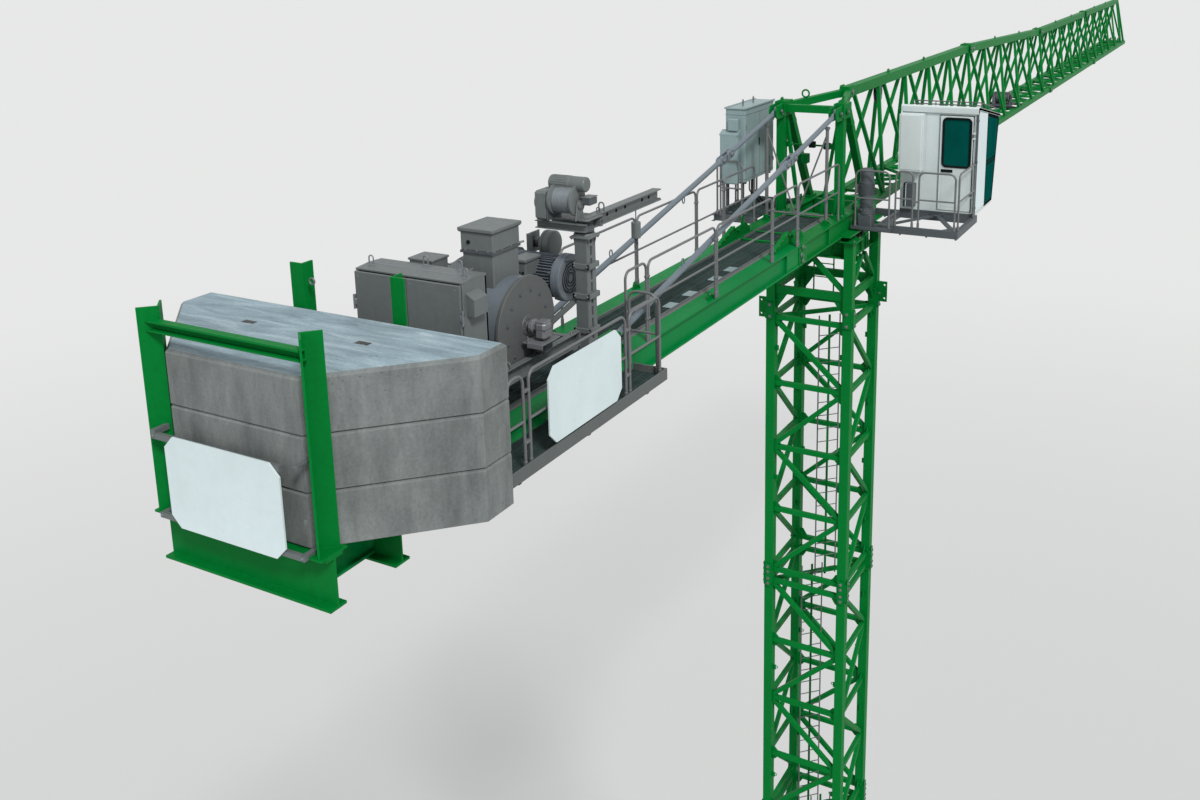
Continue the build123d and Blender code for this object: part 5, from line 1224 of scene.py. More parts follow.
# rear gear box
P.box(-0.76, -0.34, -11.20, -10.05, 31.80, 32.50, 0.03)
P.box(-0.77, -0.33, -11.21, -10.04, 32.10, 32.145, 0.004, 1)
for i in range(7):
    yy = -11.13 + 0.17 * i
    P.bolt((-0.345, yy, 32.145), (0, 0, 1), 0.012, 0.012, 2)
    P.bolt((-0.755, yy, 32.145), (0, 0, 1), 0.012, 0.012, 2)
P.box(-0.68, -0.42, -11.05, -10.30, 32.49, 32.53, 0.01, 0)
P.lathe([(0, 0.035), (0.03, 0.035), (0.04, 0.02)], (-0.55, -10.70, 32.53), (0, 0, 1), 16, 2)
P.lathe([(0, 0.24), (0.03, 0.24), (0.04, 0.20)], (-0.76, -10.40, 32.18), (-1, 0, 0), 36, 1)
P.done("slewing", replaces=["winch_gearcase"])

P = Piece("drum_shell", [BLUEG, DISC, STEEL, GREY_D])
P.lathe([(-0.50, 0.53), (0.655, 0.53)], (0, DY, DZ), EX, 96, 0, cap=False)
for i in range(24):
    x = -0.46 + 0.030 * i
    P.lathe([(x, 0.530), (x + 0.008, 0.536), (x + 0.022, 0.536), (x + 0.030, 0.530)], (0, DY, DZ), EX, 96, 0, cap=False)
P.lathe([(-0.545, 0.02), (-0.545, 0.545), (-0.535, 0.555), (-0.505, 0.555), (-0.498, 0.548), (-0.498, 0.50)], (0, DY, DZ), EX, 96, 1)
P.lathe([(0.655, 0.50), (0.655, 0.550), (0.660, 0.555), (0.692, 0.555), (0.700, 0.547), (0.700, 0.115), (0.712, 0.105),
         (0.712, 0.02)], (0, DY, DZ), EX, 96, 1)
for i in range(12):
    a = math.radians(77 + 30 * i)
    P.lathe([(0, 0.028), (0.002, 0.028), (0.002, 0.018)], (0.700, DY + 0.39 * math.cos(a), DZ + 0.39 * math.sin(a)), EX, 16, 3)
    P.bolt((0.7005, DY + 0.39 * math.cos(a), DZ + 0.39 * math.sin(a)), EX, 0.017, 0.012, 3, washer=False)
P.lathe([(0.70, 0.05), (0.738, 0.05), (0.745, 0.043), (0.745, 0.01)], (0, DY, DZ), EX, 28, 2)
P.lathe([(-0.54, 0.05), (-0.55, 0.05), (-0.55, 0.01)], (0, DY, DZ), EX, 28, 2)
for i in range(6):
    a = math.radians(60 * i + 15)
    P.bolt((0.712, DY + 0.082 * math.cos(a), DZ + 0.082 * math.sin(a)), EX, 0.011, 0.008, 2, washer=False)
P.done("hoist_drum", replaces=["hoist_drum"])

P = Piece("winch_frame", [GREY, GREY_D, SILVER, STEEL])
for s in (-1, 1):
    P.prism(channel_section(0.08, 0.17, 0.010, s), (s * 0.72, -12.25, 31.665), (s * 0.72, -10.68, 31.665), mat=0)
    P.box(s * 0.76 - 0.045, s * 0.76 + 0.045, -12.26, -12.235, 31.575, 31.755, 0.003)
    P.box(s * 0.76 - 0.045, s * 0.76 + 0.045, -10.695, -10.67, 31.575, 31.755, 0.003)
    for y in (-12.20, -10.78):
        P.box(min(s * 0.62, s * 0.705), max(s * 0.62, s * 0.705), y - 0.05, y + 0.05, 31.03, 31.60, 0.006)
        P.box(min(s * 0.62, s * 0.80), max(s * 0.62, s * 0.80), y - 0.05, y + 0.05, 31.55, 31.585, 0.004)
        P.box(min(s * 0.60, s * 0.705), max(s * 0.60, s * 0.705), y - 0.09, y + 0.09, 31.03, 31.05, 0.003)
        for dy in (-0.035, 0.035):
            P.bolt((s * 0.76, y + dy, 31.75), (0, 0, 1), 0.014, 0.014, 3)
for y in (-12.20, -10.75):
    P.prism(channel_section(0.07, 0.13, 0.009, 1), (-0.72, y - 0.035, 31.665), (0.72, y - 0.035, 31.665), mat=0)
P.eye((0.755, -12.10, 31.79), (0, 1, 0), 0.035, 0.010, 0)
P.box(0.74, 0.77, -12.12, -12.08, 31.745, 31.77, 0.003)
# limit switch unit on its bracket
P.box(0.735, 0.755, -11.56, -11.38, 31.73, 31.95, 0.003, 2)
P.box(0.755, 0.80, -11.47, -11.455, 31.73, 31.95, 0.002, 2)
P.box(0.735, 1.00, -11.78, -11.42, 31.935, 31.950, 0.002, 2)
P.plate([(-11.78, 31.95), (-11.70, 31.95), (-11.78, 32.03)], (0.80, 0, 0), EY, EZ, 0.010, 0.001, 2)
P.box(0.80, 1.00, -11.785, -11.775, 31.895, 31.95, 0.002, 2)
P.lathe([(0.748, 0.04), (0.752, 0.075), (0.760, 0.080), (0.800, 0.080), (0.806, 0.072), (0.815, 0.05), (0.835, 0.045)],
        (0, DY, DZ), EX, 36, 2)
for i in range(6):
    a = math.radians(60 * i)
    P.obox((0.780, DY + 0.079 * math.cos(a), DZ + 0.079 * math.sin(a)), EX, Vector((0, math.cos(a), math.sin(a))),
           Vector((0, -math.sin(a), math.cos(a))), 0.035, 0.010, 0.018, 0.002, 2)
P.obox((0.905, DY, 32.065), EX, EY, EZ, 0.14, 0.17, 0.20, 0.030, 2)
P.obox((0.905, DY, 32.162), EX, EY, EZ, 0.115, 0.145, 0.018, 0.006, 2)
P.box(0.835, 0.98, DY - 0.088, DY + 0.088, 32.085, 32.092, 0.001, 1)
P.lathe([(0, 0.022), (0.02, 0.022), (0.024, 0.016)], (0.93, DY + 0.085, 32.02), (0, 1, 0), 14, 3)
P.box(0.765, 0.90, -11.58, -11.42, 31.77, 31.925, 0.010, 1)
P.box(0.785, 0.88, -11.585, -11.578, 31.79, 31.905, 0.003, 2)
P.lathe([(0, 0.016), (0.03, 0.016), (0.04, 0.010)], (0.83, -11.50, 31.77), (0, 0, -1), 12, 3)
P.done("slewing", replaces=["winch_base"])

MY, MZ = -10.33, 32.27
P = Piece("hoist_motor", [MOTOR, GREY, STEEL, BLACK])
P.lathe([(-0.34, 0.10), (-0.34, 0.285), (-0.335, 0.29), (-0.305, 0.29), (-0.30, 0.245), (-0.28, 0.225), (0.33, 0.225), (0.345, 0.262),
         (0.36, 0.262), (0.362, 0.285), (0.368, 0.290), (0.415, 0.290), (0.42, 0.284), (0.425, 0.290), (0.470, 0.288), (0.480, 0.276),
         (0.480, 0.22), (0.470, 0.215), (0.470, 0.02)], (0, MY, MZ), EX, 72, 0)
for i in range(44):
    a = 2 * math.pi * i / 44
    u = Vector((0, math.cos(a), math.sin(a)))
    P.obox(Vector((0.02, MY, MZ)) + u * 0.243, EX, u, EX.cross(u), 0.60, 0.036, 0.008, 0.001, 0)
for i in range(8):
    a = 2 * math.pi * (i + 0.5) / 8
    P.bolt((0.352, MY + 0.272 * math.cos(a), MZ + 0.272 * math.sin(a)), (-1, 0, 0), 0.012, 0.03, 2)
for r in (0.06, 0.10, 0.14, 0.18):
    P.lathe([(0.478, r), (0.484, r), (0.484, r + 0.008), (0.478, r + 0.008), (0.478, r)], (0, MY, MZ), EX, 40, 3, cap=False)
# terminal box
P.box(-0.055, 0.135, -10.775, -10.465, 32.34, 32.535, 0.012, 1)
P.box(-0.070, 0.150, -10.79, -10.45, 32.515, 32.560, 0.010, 1)
for x in (-0.045, 0.125):
    for yy in (-10.765, -10.475):
        P.lathe([(0, 0.008), (0.006, 0.008), (0.008, 0.005)], (x, yy, 32.558), (0, 0, 1), 8, 2)
for x in (-0.01, 0.05, 0.10):
    P.rod((x, -10.79, 32.40), (x, -10.765, 32.40), 0.014, 10, 3)
P.box(-0.03, 0.11, -10.60, -10.35, 32.42, 32.50, 0.01, 1)
# separate cooling fan
P.box(-0.02, 0.10, -10.16, -9.98, 32.33, 32.48, 0.01, 1)
P.lathe([(-0.05, 0.05), (-0.048, 0.150), (-0.035, 0.168), (-0.025, 0.170), (0.0, 0.170), (0.005, 0.163), (0.015, 0.163), (0.02, 0.170),
         (0.09, 0.170), (0.10, 0.160), (0.11, 0.12), (0.11, 0.02)], (0, -10.06, 32.58), EX, 48, 1)
P.lathe([(-0.20, 0.055), (-0.195, 0.068), (-0.12, 0.070), (-0.115, 0.058), (-0.10, 0.058), (-0.095, 0.070), (-0.05, 0.070)],
        (0, -10.06, 32.58), EX, 28, 2)
P.plate([(-10.19, 32.45), (-9.93, 32.45), (-9.93, 32.71), (-10.19, 32.71)], (-0.225, 0, 0), EY, EZ, 0.020, 0.003, 1)
P.box(-0.23, -0.14, -10.195, -10.18, 32.45, 32.71, 0.002, 1)
# diagonal stay to the davit post and legs below
P.beam((0.30, -10.90, 31.66), (0.70, -10.56, 32.10), 0.06, 0.06, 0.008, mat=1)
P.done("slewing", replaces=["winch_motor"])

# ----------------------------------------------------------------------
# davit
# ----------------------------------------------------------------------
PX, PY = 0.805, -10.52
P = Piece("davit_column", [GREY, GREY_D, STEEL, GALV])
for y0, y1 in ((-0.100, -0.022), (0.022, 0.100)):
    P.box(PX - 0.085, PX + 0.085, PY + y0, PY + y1, 30.70, 32.85, 0.008)
P.box(PX - 0.078, PX + 0.050, PY - 0.03, PY + 0.03, 30.70, 32.85, 0.002, 1)
z = 30.86
while z < 32.8:
    P.box(PX + 0.045, PX + 0.078, PY - 0.026, PY + 0.026, z, z + 0.035, 0.003, 0)
    z += 0.145
for z in (31.72, 32.14, 32.50):
    for y0, y1 in ((-0.118, -0.098), (0.098, 0.118)):
        P.box(PX - 0.118, PX + 0.118, PY + y0, PY + y1, z - 0.012, z + 0.052, 0.004)
    for x0, x1 in ((-0.118, -0.084), (0.084, 0.118)):
        P.box(PX + x0, PX + x1, PY - 0.118, PY + 0.118, z - 0.012, z + 0.052, 0.004)
    for x in (-0.085, 0.085):
        P.bolt((PX + x, PY - 0.118, z + 0.02), (0, -1, 0), 0.012, 0.012, 2)
# stays from the clamps to the motor guard
for z, x in ((32.16, 0.44), (32.52, 0.40)):
    P.pipe(arc_path([(PX - 0.11, PY + 0.03, z), (PX - 0.24, PY + 0.06, z + 0.01), (x, PY + 0.10, z - 0.05)], 0.05), 0.014, 10)
P.obox((PX, PY, 32.862), EX, EY, EZ, 0.26, 0.26, 0.024, 0.006)
P.lathe([(32.870, 0.128), (32.888, 0.130), (32.898, 0.126), (32.905, 0.118), (32.905, 0.02)], (PX, PY, 0), EZ, 40)
for sx in (-1, 1):
    for sy in (-1, 1):
        P.bolt((PX + sx * 0.11, PY + sy * 0.11, 32.850), (0, 0, -1), 0.012, 0.012, 2)
        P.plate([(0, 0), (sx * 0.03, 0), (0, -0.12)], (PX + sx * 0.085, PY + sy * 0.07 + 0.004, 32.85), EX, EZ, 0.008, 0.001)
P.box(PX - 0.14, PX + 0.14, PY - 0.14, PY + 0.14, 30.70, 30.725, 0.004)
P.box(0.705, 0.72, PY - 0.13, PY + 0.13, 30.72, 31.00, 0.004)
P.done("slewing", replaces=["davit_post"])


def dv(a, b, z):
    return Vector((PX + b, PY + a, z))


Z0 = 32.93
P = Piece("davit_jib", [GREY, GREY_D, STEEL, GALV, BLACK])
P.lathe([(32.92, 0.02), (32.92, 0.108), (32.927, 0.114), (32.950, 0.114), (32.957, 0.106), (32.990, 0.106), (32.990, 0.02)],
        (PX, PY, 0), EZ, 40, 1)
P.prism(i_section(0.12, 0.148, 0.014, 0.011), dv(0.0, 0, Z0 + 0.075), dv(1.82, 0, Z0 + 0.075))
for a in (0.04, 0.34):
    for q in (-1, 1):
        P.plate([(q * 0.006, -0.060), (q * 0.054, -0.060), (q * 0.054, 0.060), (q * 0.006, 0.060)], dv(a + 0.004, 0, Z0 + 0.075), EX, EZ, 0.008, 0.001)
# holes in the web
for a in (0.52, 0.74, 0.96, 1.40, 1.58):
    P.lathe([(0, 0.022), (0.002, 0.022), (0.003, 0.018)], dv(a, 0.006, Z0 + 0.08), EX, 14, 4)
# end stops
for b in (-1, 1):
    P.box(PX + b * 0.035 - 0.018, PX + b * 0.035 + 0.018, PY + 1.79, PY + 1.818, Z0 + 0.012, Z0 + 0.030, 0.002)
# eyes at the root of the top flange
P.uloop(dv(0.40, 0, Z0 + 0.148), EX, EZ, 0.07, 0.10, 0.009)
P.uloop(dv(0.31, 0.01, Z0 + 0.148), EX, EZ, 0.045, 0.06, 0.007)
# base frame over the post, two channels and a plate
for a, f in ((-0.07, 1), (0.23, -1)):
    P.prism(channel_section(0.058, 0.088, 0.008, f), dv(a - 0.029, -0.58, 32.982), dv(a - 0.029, 0.10, 32.982))
P.box(PX - 0.57, PX + 0.105, PY - 0.10, PY + 0.26, 33.052, 33.070, 0.004)
for a, b in ((-0.07, -0.53), (-0.07, 0.06), (0.23, -0.53), (0.23, 0.06)):
    P.bolt(dv(a, b, 33.070), EZ, 0.014, 0.014, 2)
# rope winch: gear box, drum, bearing bracket
P.obox(dv(-0.06, -0.460, 33.22), EY, EX, EZ, 0.30, 0.18, 0.345, 0.028)
P.obox(dv(-0.06, -0.372, 33.22), EY, EX, EZ, 0.30, 0.020, 0.345, 0.006, 1)
P.lathe([(-0.552, 0.10), (-0.556, 0.12), (-0.562, 0.12), (-0.566, 0.10), (-0.566, 0.02)], dv(-0.06, 0, 33.245), EX, 32, 1)
P.lathe([(-0.360, 0.02), (-0.360, 0.170), (-0.355, 0.18), (-0.333, 0.18), (-0.327, 0.170), (-0.315, 0.152), (-0.085, 0.152), (-0.075, 0.170),
         (-0.069, 0.18), (-0.046, 0.18), (-0.040, 0.170), (-0.040, 0.02)], dv(-0.06, 0, 33.285), EX, 56, 0)
for i in range(11):
    x = -0.305 + 0.0195 * i
    P.lathe([(x, 0.153), (x + 0.0045, 0.158), (x + 0.0150, 0.158), (x + 0.0195, 0.153)], dv(-0.06, 0, 33.285), EX, 40, 3, cap=False)
P.plate([(-0.15, 33.06), (0.03, 33.06), (0.01, 33.19), (-0.02, 33.29), (-0.10, 33.29), (-0.13, 33.19)], (PX - 0.036, PY, 0), EY, EZ, 0.018, 0.004)
P.lathe([(-0.018, 0.050), (-0.004, 0.050), (0.002, 0.042), (0.010, 0.026)], dv(-0.06, 0, 33.235), EX, 24, 2)
# limit switch box with a small roof and plug
P.obox(dv(0.04, 0.05, 33.275), EY, EX, EZ, 0.17, 0.125, 0.085, 0.012, 1)
P.obox(dv(0.04, 0.05, 33.322), EY, EX, EZ, 0.178, 0.13, 0.012, 0.004, 0)
# motor over the drum
P.lathe([(-0.42, 0.02), (-0.42, 0.080), (-0.410, 0.088), (-0.18, 0.088), (-0.175, 0.092), (-0.15, 0.092), (-0.145, 0.088),
         (0.045, 0.088), (0.056, 0.080), (0.060, 0.05), (0.060, 0.02)], dv(-0.01, 0, 33.47), EX, 40, 0)
for i in range(20):
    a = 2 * math.pi * i / 20
    u = Vector((0, math.cos(a), math.sin(a)))
    P.obox(dv(-0.01, -0.29, 33.47) + u * 0.088, EX, u, EX.cross(u), 0.20, 0.008, 0.006, 0.001)
# rope, damping cylinder, hook
P.rod(dv(1.24, 0, 32.76), dv(1.24, 0, Z0 + 0.01), 0.0075, 8, 2)
P.lathe([(32.556, 0.02), (32.556, 0.054), (32.562, 0.060), (32.756, 0.060), (32.762, 0.054), (32.762, 0.015)],
        dv(1.24, 0, 0), EZ, 28, 0)
P.lathe([(32.760, 0.020), (32.79, 0.018), (32.80, 0.010)], dv(1.24, 0, 0), EZ, 14, 2)
P.lathe([(32.50, 0.014), (32.515, 0.022), (32.53, 0.020), (32.556, 0.034)], dv(1.24, 0, 0), EZ, 20, 1)
hook = []
for i in range(17):
    a = math.radians(100 - 320 * i / 16)
    hook.append(dv(1.24, 0, 32.466) + EY * (0.038 * math.cos(a)) + EZ * (0.038 * math.sin(a)))
P.pipe(hook, 0.009, 10, mat=1)
P.done("davit_arm", replaces=["davit_arm"])

# ----------------------------------------------------------------------
# counterweight
# ----------------------------------------------------------------------
P = Piece("counterweight_fittings", [GREEN, STEEL, GREEN_PAINTED_SHADE, GALV])
for s in (-1, 1):
    # lifting bars cast into the top pockets
    P.uloop((s * 0.71, -14.25, 32.605), (1, 0, 0), (0, 0, 1), 0.09, 0.080, 0.013, 1)
    # brackets under the block stack
    P.box(min(s * 0.86, s * 1.01), max(s * 0.86, s * 1.01), -14.385, -14.185, 31.128, 31.148, 0.004)
    # inner post: clip angle
    P.box(min(s * 0.60, s * 0.70), max(s * 0.60, s * 0.70), -13.636, -13.60, 31.05, 31.20, 0.004)
P.eye((-0.452, -13.64, 32.98), (0, 1, 0), 0.032, 0.009, 1, 20)
P.done("slewing")

P = Piece("sign_plate_fixings", [GALV, GREY])
# clip at the right edge of the rear plate
P.box(0.945, 0.975, -15.372, -15.356, 31.50, 31.545, 0.003, 1)
for s in (-1, 1):
    P.bolt((s * 0.865, -15.350, 31.155), (0, -1, 0), 0.012, 0.009, 0)
P.bolt((-0.865, -15.350, 31.932), (0, -1, 0), 0.012, 0.009, 0)
P.done("slewing")

# ----------------------------------------------------------------------
# cab
# ----------------------------------------------------------------------
def front_y(z):
    return 2.51 + (2.93 - 2.51) * (z - 30.82) / (32.85 - 30.82)


def under(y):
    """Underside of the sloping cab roof."""
    return 32.965 - 0.195 * (y - 0.965) - 0.055


P = Piece("cab_trim", [WHITE, BLACK, GREY_D, STEEL, PLATE, LIGHT])
# bulge on the rear wall with soft edges
P.obox((1.432, 0.905, 32.235), EX, EY, EZ, 0.468, 0.225, 1.135, 0.035, 0)
P.box(1.205, 1.655, 0.985, 1.002, 31.655, 32.80, 0.004, 0)
# raised gutter over the rear wall, and panel joints
P.box(1.205, 2.655, 0.986, 0.999, 30.822, 30.870, 0.004, 2)
P.box(1.928, 1.936, 0.990, 1.001, 30.90, 32.78, 0.001, 5)
P.box(1.94, 2.585, 0.992, 1.001, 32.782, 32.790, 0.001, 5)
# ventilation unit: white box, dark slotted face and a grey side
P.box(1.298, 1.340, 0.868, 1.00, 30.945, 31.405, 0.004, 1)
P.box(1.352, 1.522, 0.876, 1.00, 30.945, 31.410, 0.008, 2)
for i in range(14):
    z = 30.975 + 0.029 * i
    P.box(1.302, 1.338, 0.862, 0.870, z, z + 0.012, 0.002, 2)
# right side panel strip, bare
P.plate([(1.045, 30.90), (1.825, 30.90), (1.825, under(1.825) - 0.01), (1.045, under(1.045) - 0.03)], (2.648, 0, 0), EY, EZ, 0.010, 0.003, 4)
P.plate([(1.045, 30.90), (1.825, 30.90), (1.825, under(1.825) - 0.01), (1.045, under(1.045) - 0.03)], (1.192, 0, 0), EY, EZ, 0.010, 0.003, 4)
# grey corner post
P.rod((2.655, 0.985, 30.80), (2.655, 0.985, 32.83), 0.0225, 16, 2, ch=0.004)
for z in (31.0, 31.9, 32.7):
    P.box(2.628, 2.682, 0.958, 1.012, z - 0.02, z + 0.02, 0.005, 2)
# sloping roof slab with a rear band, grey pipe rails on it
prof = [(0.965, 32.82), (0.962, 32.835), (0.962, 32.93), (0.985, under(0.985) + 0.054), (2.92, under(2.92) + 0.054), (2.932, under(2.93) + 0.04),
        (2.932, under(2.93) + 0.01), (2.92, under(2.92)), (1.08, under(1.08)), (1.04, 32.82)]
P.plate(prof, (1.180, 0, 0), EY, EZ, 1.490, 0.006, 0)
for z in (32.93, 32.99):
    P.pipe([(1.30, 1.40, z), (2.62, 1.40, z)], 0.011, 10, mat=2)
for x in (1.30, 1.74, 2.18, 2.62):
    P.rod((x, 1.40, under(1.40) + 0.05), (x, 1.40, 32.995), 0.010, 8, 2)
P.pipe([(2.60, 1.40, 32.99), (2.60, 2.80, under(2.80) + 0.16)], 0.011, 10, mat=2)
for y in (1.87, 2.34, 2.80):
    P.rod((2.60, y, under(y) + 0.05), (2.60, y, under(y) + 0.16), 0.010, 8, 2)
P.done("slewing")

P = Piece("cab_window_frames", [BLACK, GREY_D])
for x, q in ((2.650, 1), (1.200, -1)):
    n = Vector((q, 0, 0))
    bars = [((1.862, 30.87), (1.862, under(1.862) - 0.02)), ((1.862, under(1.862) - 0.03), (2.82, under(2.82) - 0.03)),
            ((1.862, 30.885), (front_y(30.885) - 0.015, 30.885)),
            ((front_y(30.86) - 0.022, 30.86), (front_y(32.50) - 0.022, 32.50)),
            ((1.862, 31.755), (front_y(31.755) - 0.02, 31.755)), ((1.862, 31.695), (front_y(31.695) - 0.02, 31.695))]
    for j, (a, b) in enumerate(bars):
        w = 0.050 if j < 4 else 0.026
        P.beam((x + q * 0.001, a[0], a[1]), (x + q * 0.001, b[0], b[1]), 0.016, w, 0.005, upv=(0, -(b[1] - a[1]), b[0] - a[0]) if j in (0, 1, 3) else (0, 0, 1))
# sloping front
slope = Vector((0, 2.93 - 2.51, 32.85 - 30.82)).normalized()
nf = slope.cross(EX) * -1
for x in (1.215, 2.635, 1.925):
    P.beam(Vector((x, front_y(30.86), 30.86)) - nf * 0.0, Vector((x, front_y(32.50), 32.50)), 0.035, 0.014, 0.004, upv=nf)
for z, w in ((30.885, 0.05), (31.70, 0.035), (31.755, 0.02), (32.48, 0.05)):
    P.beam((1.205, front_y(z) + 0.001, z), (2.645, front_y(z) + 0.001, z), 0.014, w, 0.004, upv=slope)
# wiper
P.beam((1.70, front_y(32.44) + 0.014, 32.44), (1.52, front_y(31.80) + 0.016, 31.80), 0.012, 0.012, 0.003, upv=nf)
P.lathe([(0, 0.026), (0.02, 0.026), (0.026, 0.018)], (1.70, front_y(32.44) + 0.005, 32.44), nf if nf.y > 0 else -nf, 14, 0)
P.done("slewing")

P = Piece("cab_door_leaf", [WHITE, BLACK, STEEL])
W, H = 2.573 - 1.952, 32.768 - 30.912
cx, cz = (2.573 + 1.952) / 2, (32.768 + 30.912) / 2
wx, wz = (2.000 + 2.548) / 2, (31.765 + 32.735) / 2
frame_ring(P, (cx, 1.018, cz), EX, EZ, W, H, 0.022, 0.50, 0.92, 0.070, 0.032, 0, (wx - cx, wz - cz))
ring = [Vector((wx + x, 0.9865, wz + z)) for x, z in rrect(0.522, 0.942, 0.075, 6)]
P.pipe(ring, 0.022, 10, True, 1)
ring = [Vector((wx + x, 0.982, wz + z)) for x, z in rrect(0.500, 0.920, 0.065, 6)]
P.pipe(ring, 0.0135, 10, True, 1)
frame_ring(P, (cx, 0.986, cz - 0.54), EX, EZ, 0.50, 0.64, 0.03, 0.484, 0.624, 0.026, 0.0025, 0)
P.box(1.99, 2.215, 0.980, 0.987, 31.662, 31.722, 0.008, 1)
P.box(2.005, 2.195, 0.958, 0.975, 31.680, 31.705, 0.006, 1)
for x in (2.01, 2.18):
    P.box(x, x + 0.018, 0.962, 0.984, 31.680, 31.705, 0.003, 1)
P.lathe([(0, 0.012), (0.006, 0.012), (0.008, 0.008)], (2.035, 0.986, 31.62), (0, -1, 0), 12, 2)
for z in (31.25, 32.40):
    P.rod((2.585, 0.985, z - 0.03), (2.585, 0.985, z + 0.03), 0.010, 12, 2)
    P.box(2.545, 2.585, 0.976, 0.990, z - 0.03, z + 0.03, 0.003, 2)
P.done("cab_door", replaces=["cab_door"])

P = Piece("cab_door_pane", [GLASS])
P.plate([(wx + x, wz + z) for x, z in rrect(0.506, 0.926, 0.07, 5)], (0, 1.000, 0), EX, EZ, 0.007, 0.001)
P.done("cab_door")

# ----------------------------------------------------------------------
# light switch cabinet
# ----------------------------------------------------------------------
P = Piece("light_cabinet_case", [LIGHT, GREY_D, STEEL, BLACK, GALV])
P.obox((-1.20, -0.95, 32.395), EX, EY, EZ, 0.40, 1.40, 1.39, 0.012)
for z in (32.98, 31.76):
    P.box(-1.403, -0.997, -1.652, -0.248, z - 0.004, z + 0.004, 0.001, 1)
for y in (-0.95,):
    P.box(-1.0005, -0.9975, y - 0.004, y + 0.004, 31.76, 32.98, 0.0005, 1)
    P.box(-1.4025, -1.3995, y - 0.004, y + 0.004, 31.76, 32.98, 0.0005, 1)
P.box(-1.42, -0.98, -1.67, -0.23, 33.088, 33.104, 0.004)
# roof with a raised channel along both edges
for x in (-1.42, -1.02):
    P.box(x, x + 0.04, -1.67, -0.23, 33.10, 33.122, 0.006)
P.box(-1.36, -1.04, -1.62, -0.28, 33.10, 33.112, 0.004)
for y in (-1.30, -0.80):
    P.uloop((-1.20, y, 33.108), (0, 1, 0), (0, 0, 1), 0.05, 0.12, 0.008, 2)
# hood box and small box towards the rear
P.obox((-1.28, -1.722, 32.15), EX, EY, EZ, 0.36, 0.145, 0.94, 0.02)
P.ring_faces([[Vector((x, -1.648, 32.60)), Vector((x, -1.795, 32.60)), Vector((x, -1.795, 32.63)), Vector((x, -1.648, 32.70))]
              for x in (-1.465, -1.46, -1.10, -1.095)])
P.obox((-1.22, -1.70, 32.80), EX, EY, EZ, 0.20, 0.10, 0.24, 0.015)
P.obox((-1.22, -1.752, 32.80), EX, EY, EZ, 0.17, 0.008, 0.20, 0.003, 0)
# handle, hinges
P.box(-0.998, -0.985, -1.00, -0.975, 32.33, 32.47, 0.004, 3)
for z in (31.95, 32.75):
    for y in (-1.63, -0.27):
        P.rod((-0.993, y, z - 0.04), (-0.993, y, z + 0.04), 0.010, 10, 2)
for i in range(6):
    P.box(-0.9985, -0.994, -0.62, -0.42, 31.86 + 0.03 * i, 31.872 + 0.03 * i, 0.001, 1)
for y in (-1.55, -0.35):
    for x in (-1.38, -1.07):
        P.prism(angle_section(0.05, 0.05, 0.007, 1, 1), (x, y - 0.025, 31.07), (x, y - 0.025, 31.70), upv=(0, 1, 0), mat=1)
        P.box(x - 0.01, x + 0.06, y - 0.05, y + 0.05, 31.07, 31.082, 0.002, 1)
    P.box(-1.38, -1.02, y - 0.02, y + 0.02, 31.66, 31.70, 0.004, 1)
P.pipe(arc_path([(-1.15, -0.9, 31.70), (-1.15, -0.9, 31.45), (-0.95, -0.9, 31.20), (-0.74, -0.9, 31.12)], 0.09), 0.018, 10, mat=3)
P.pipe(arc_path([(-1.20, -0.98, 31.70), (-1.20, -0.98, 31.42), (-0.95, -0.98, 31.17), (-0.74, -0.98, 31.11)], 0.09), 0.013, 10, mat=3)
P.done("slewing", replaces=["light_cabinet"])

# ----------------------------------------------------------------------
# jib
# ----------------------------------------------------------------------
JY = [1.25, 11.35, 21.70, 31.95, 42.20]


def top_z(y):
    return 33.14 if y <= 11.35 else (33.14 - 0.31 * (y - 11.35) / 10.35 if y < 21.7 else 32.83)


P = Piece("jib_couplings", [GREEN, STEEL, GREEN_PAINTED_SHADE])
for y in JY[1:-1]:
    z = top_z(y)
    for q in (-1, 1):
        P.plate([(y - 0.23, z - 0.075), (y - 0.17, z - 0.125), (y + 0.17, z - 0.125), (y + 0.23, z - 0.075), (y + 0.23, z + 0.075),
                 (y + 0.17, z + 0.125), (y - 0.17, z + 0.125), (y - 0.23, z + 0.075)], (q * 0.140 - 0.010, 0, 0), EY, EZ, 0.020, 0.004)
        for d in (-0.11, 0.11):
            P.lathe([(0, 0.048), (0.016, 0.048), (0.022, 0.040)], (q * 0.150, y + d, z), (q, 0, 0), 18, 1)
        # bottom chord couplings
        for s in (-1, 1):
            x = s * 0.48 + q * 0.098
            P.plate([(y - 0.20, 30.79), (y - 0.15, 30.745), (y + 0.15, 30.745), (y + 0.20, 30.79), (y + 0.20, 30.87), (y + 0.15, 30.915),
                     (y - 0.15, 30.915), (y - 0.20, 30.87)], (x - 0.008, 0, 0), EY, EZ, 0.016, 0.003)
            for d in (-0.09, 0.09):
                P.lathe([(0, 0.036), (0.012, 0.036), (0.017, 0.030)], (x + q * 0.008, y + d, 30.83), (q, 0, 0), 16, 1)
for y in (4.0, 6.9, 11.05, 14.8, 18.4, 21.35, 25.2, 28.7, 31.6, 34.9, 38.4, 41.4):
    z = top_z(y) + 0.10
    P.plate([(y - 0.09, z - 0.01), (y + 0.09, z - 0.01), (y + 0.045, z + 0.075), (y - 0.045, z + 0.075)], (-0.012, 0, 0), EY, EZ, 0.024, 0.003)
    P.rod((-0.020, y, z + 0.035), (0.020, y, z + 0.035), 0.022, 12, 1)
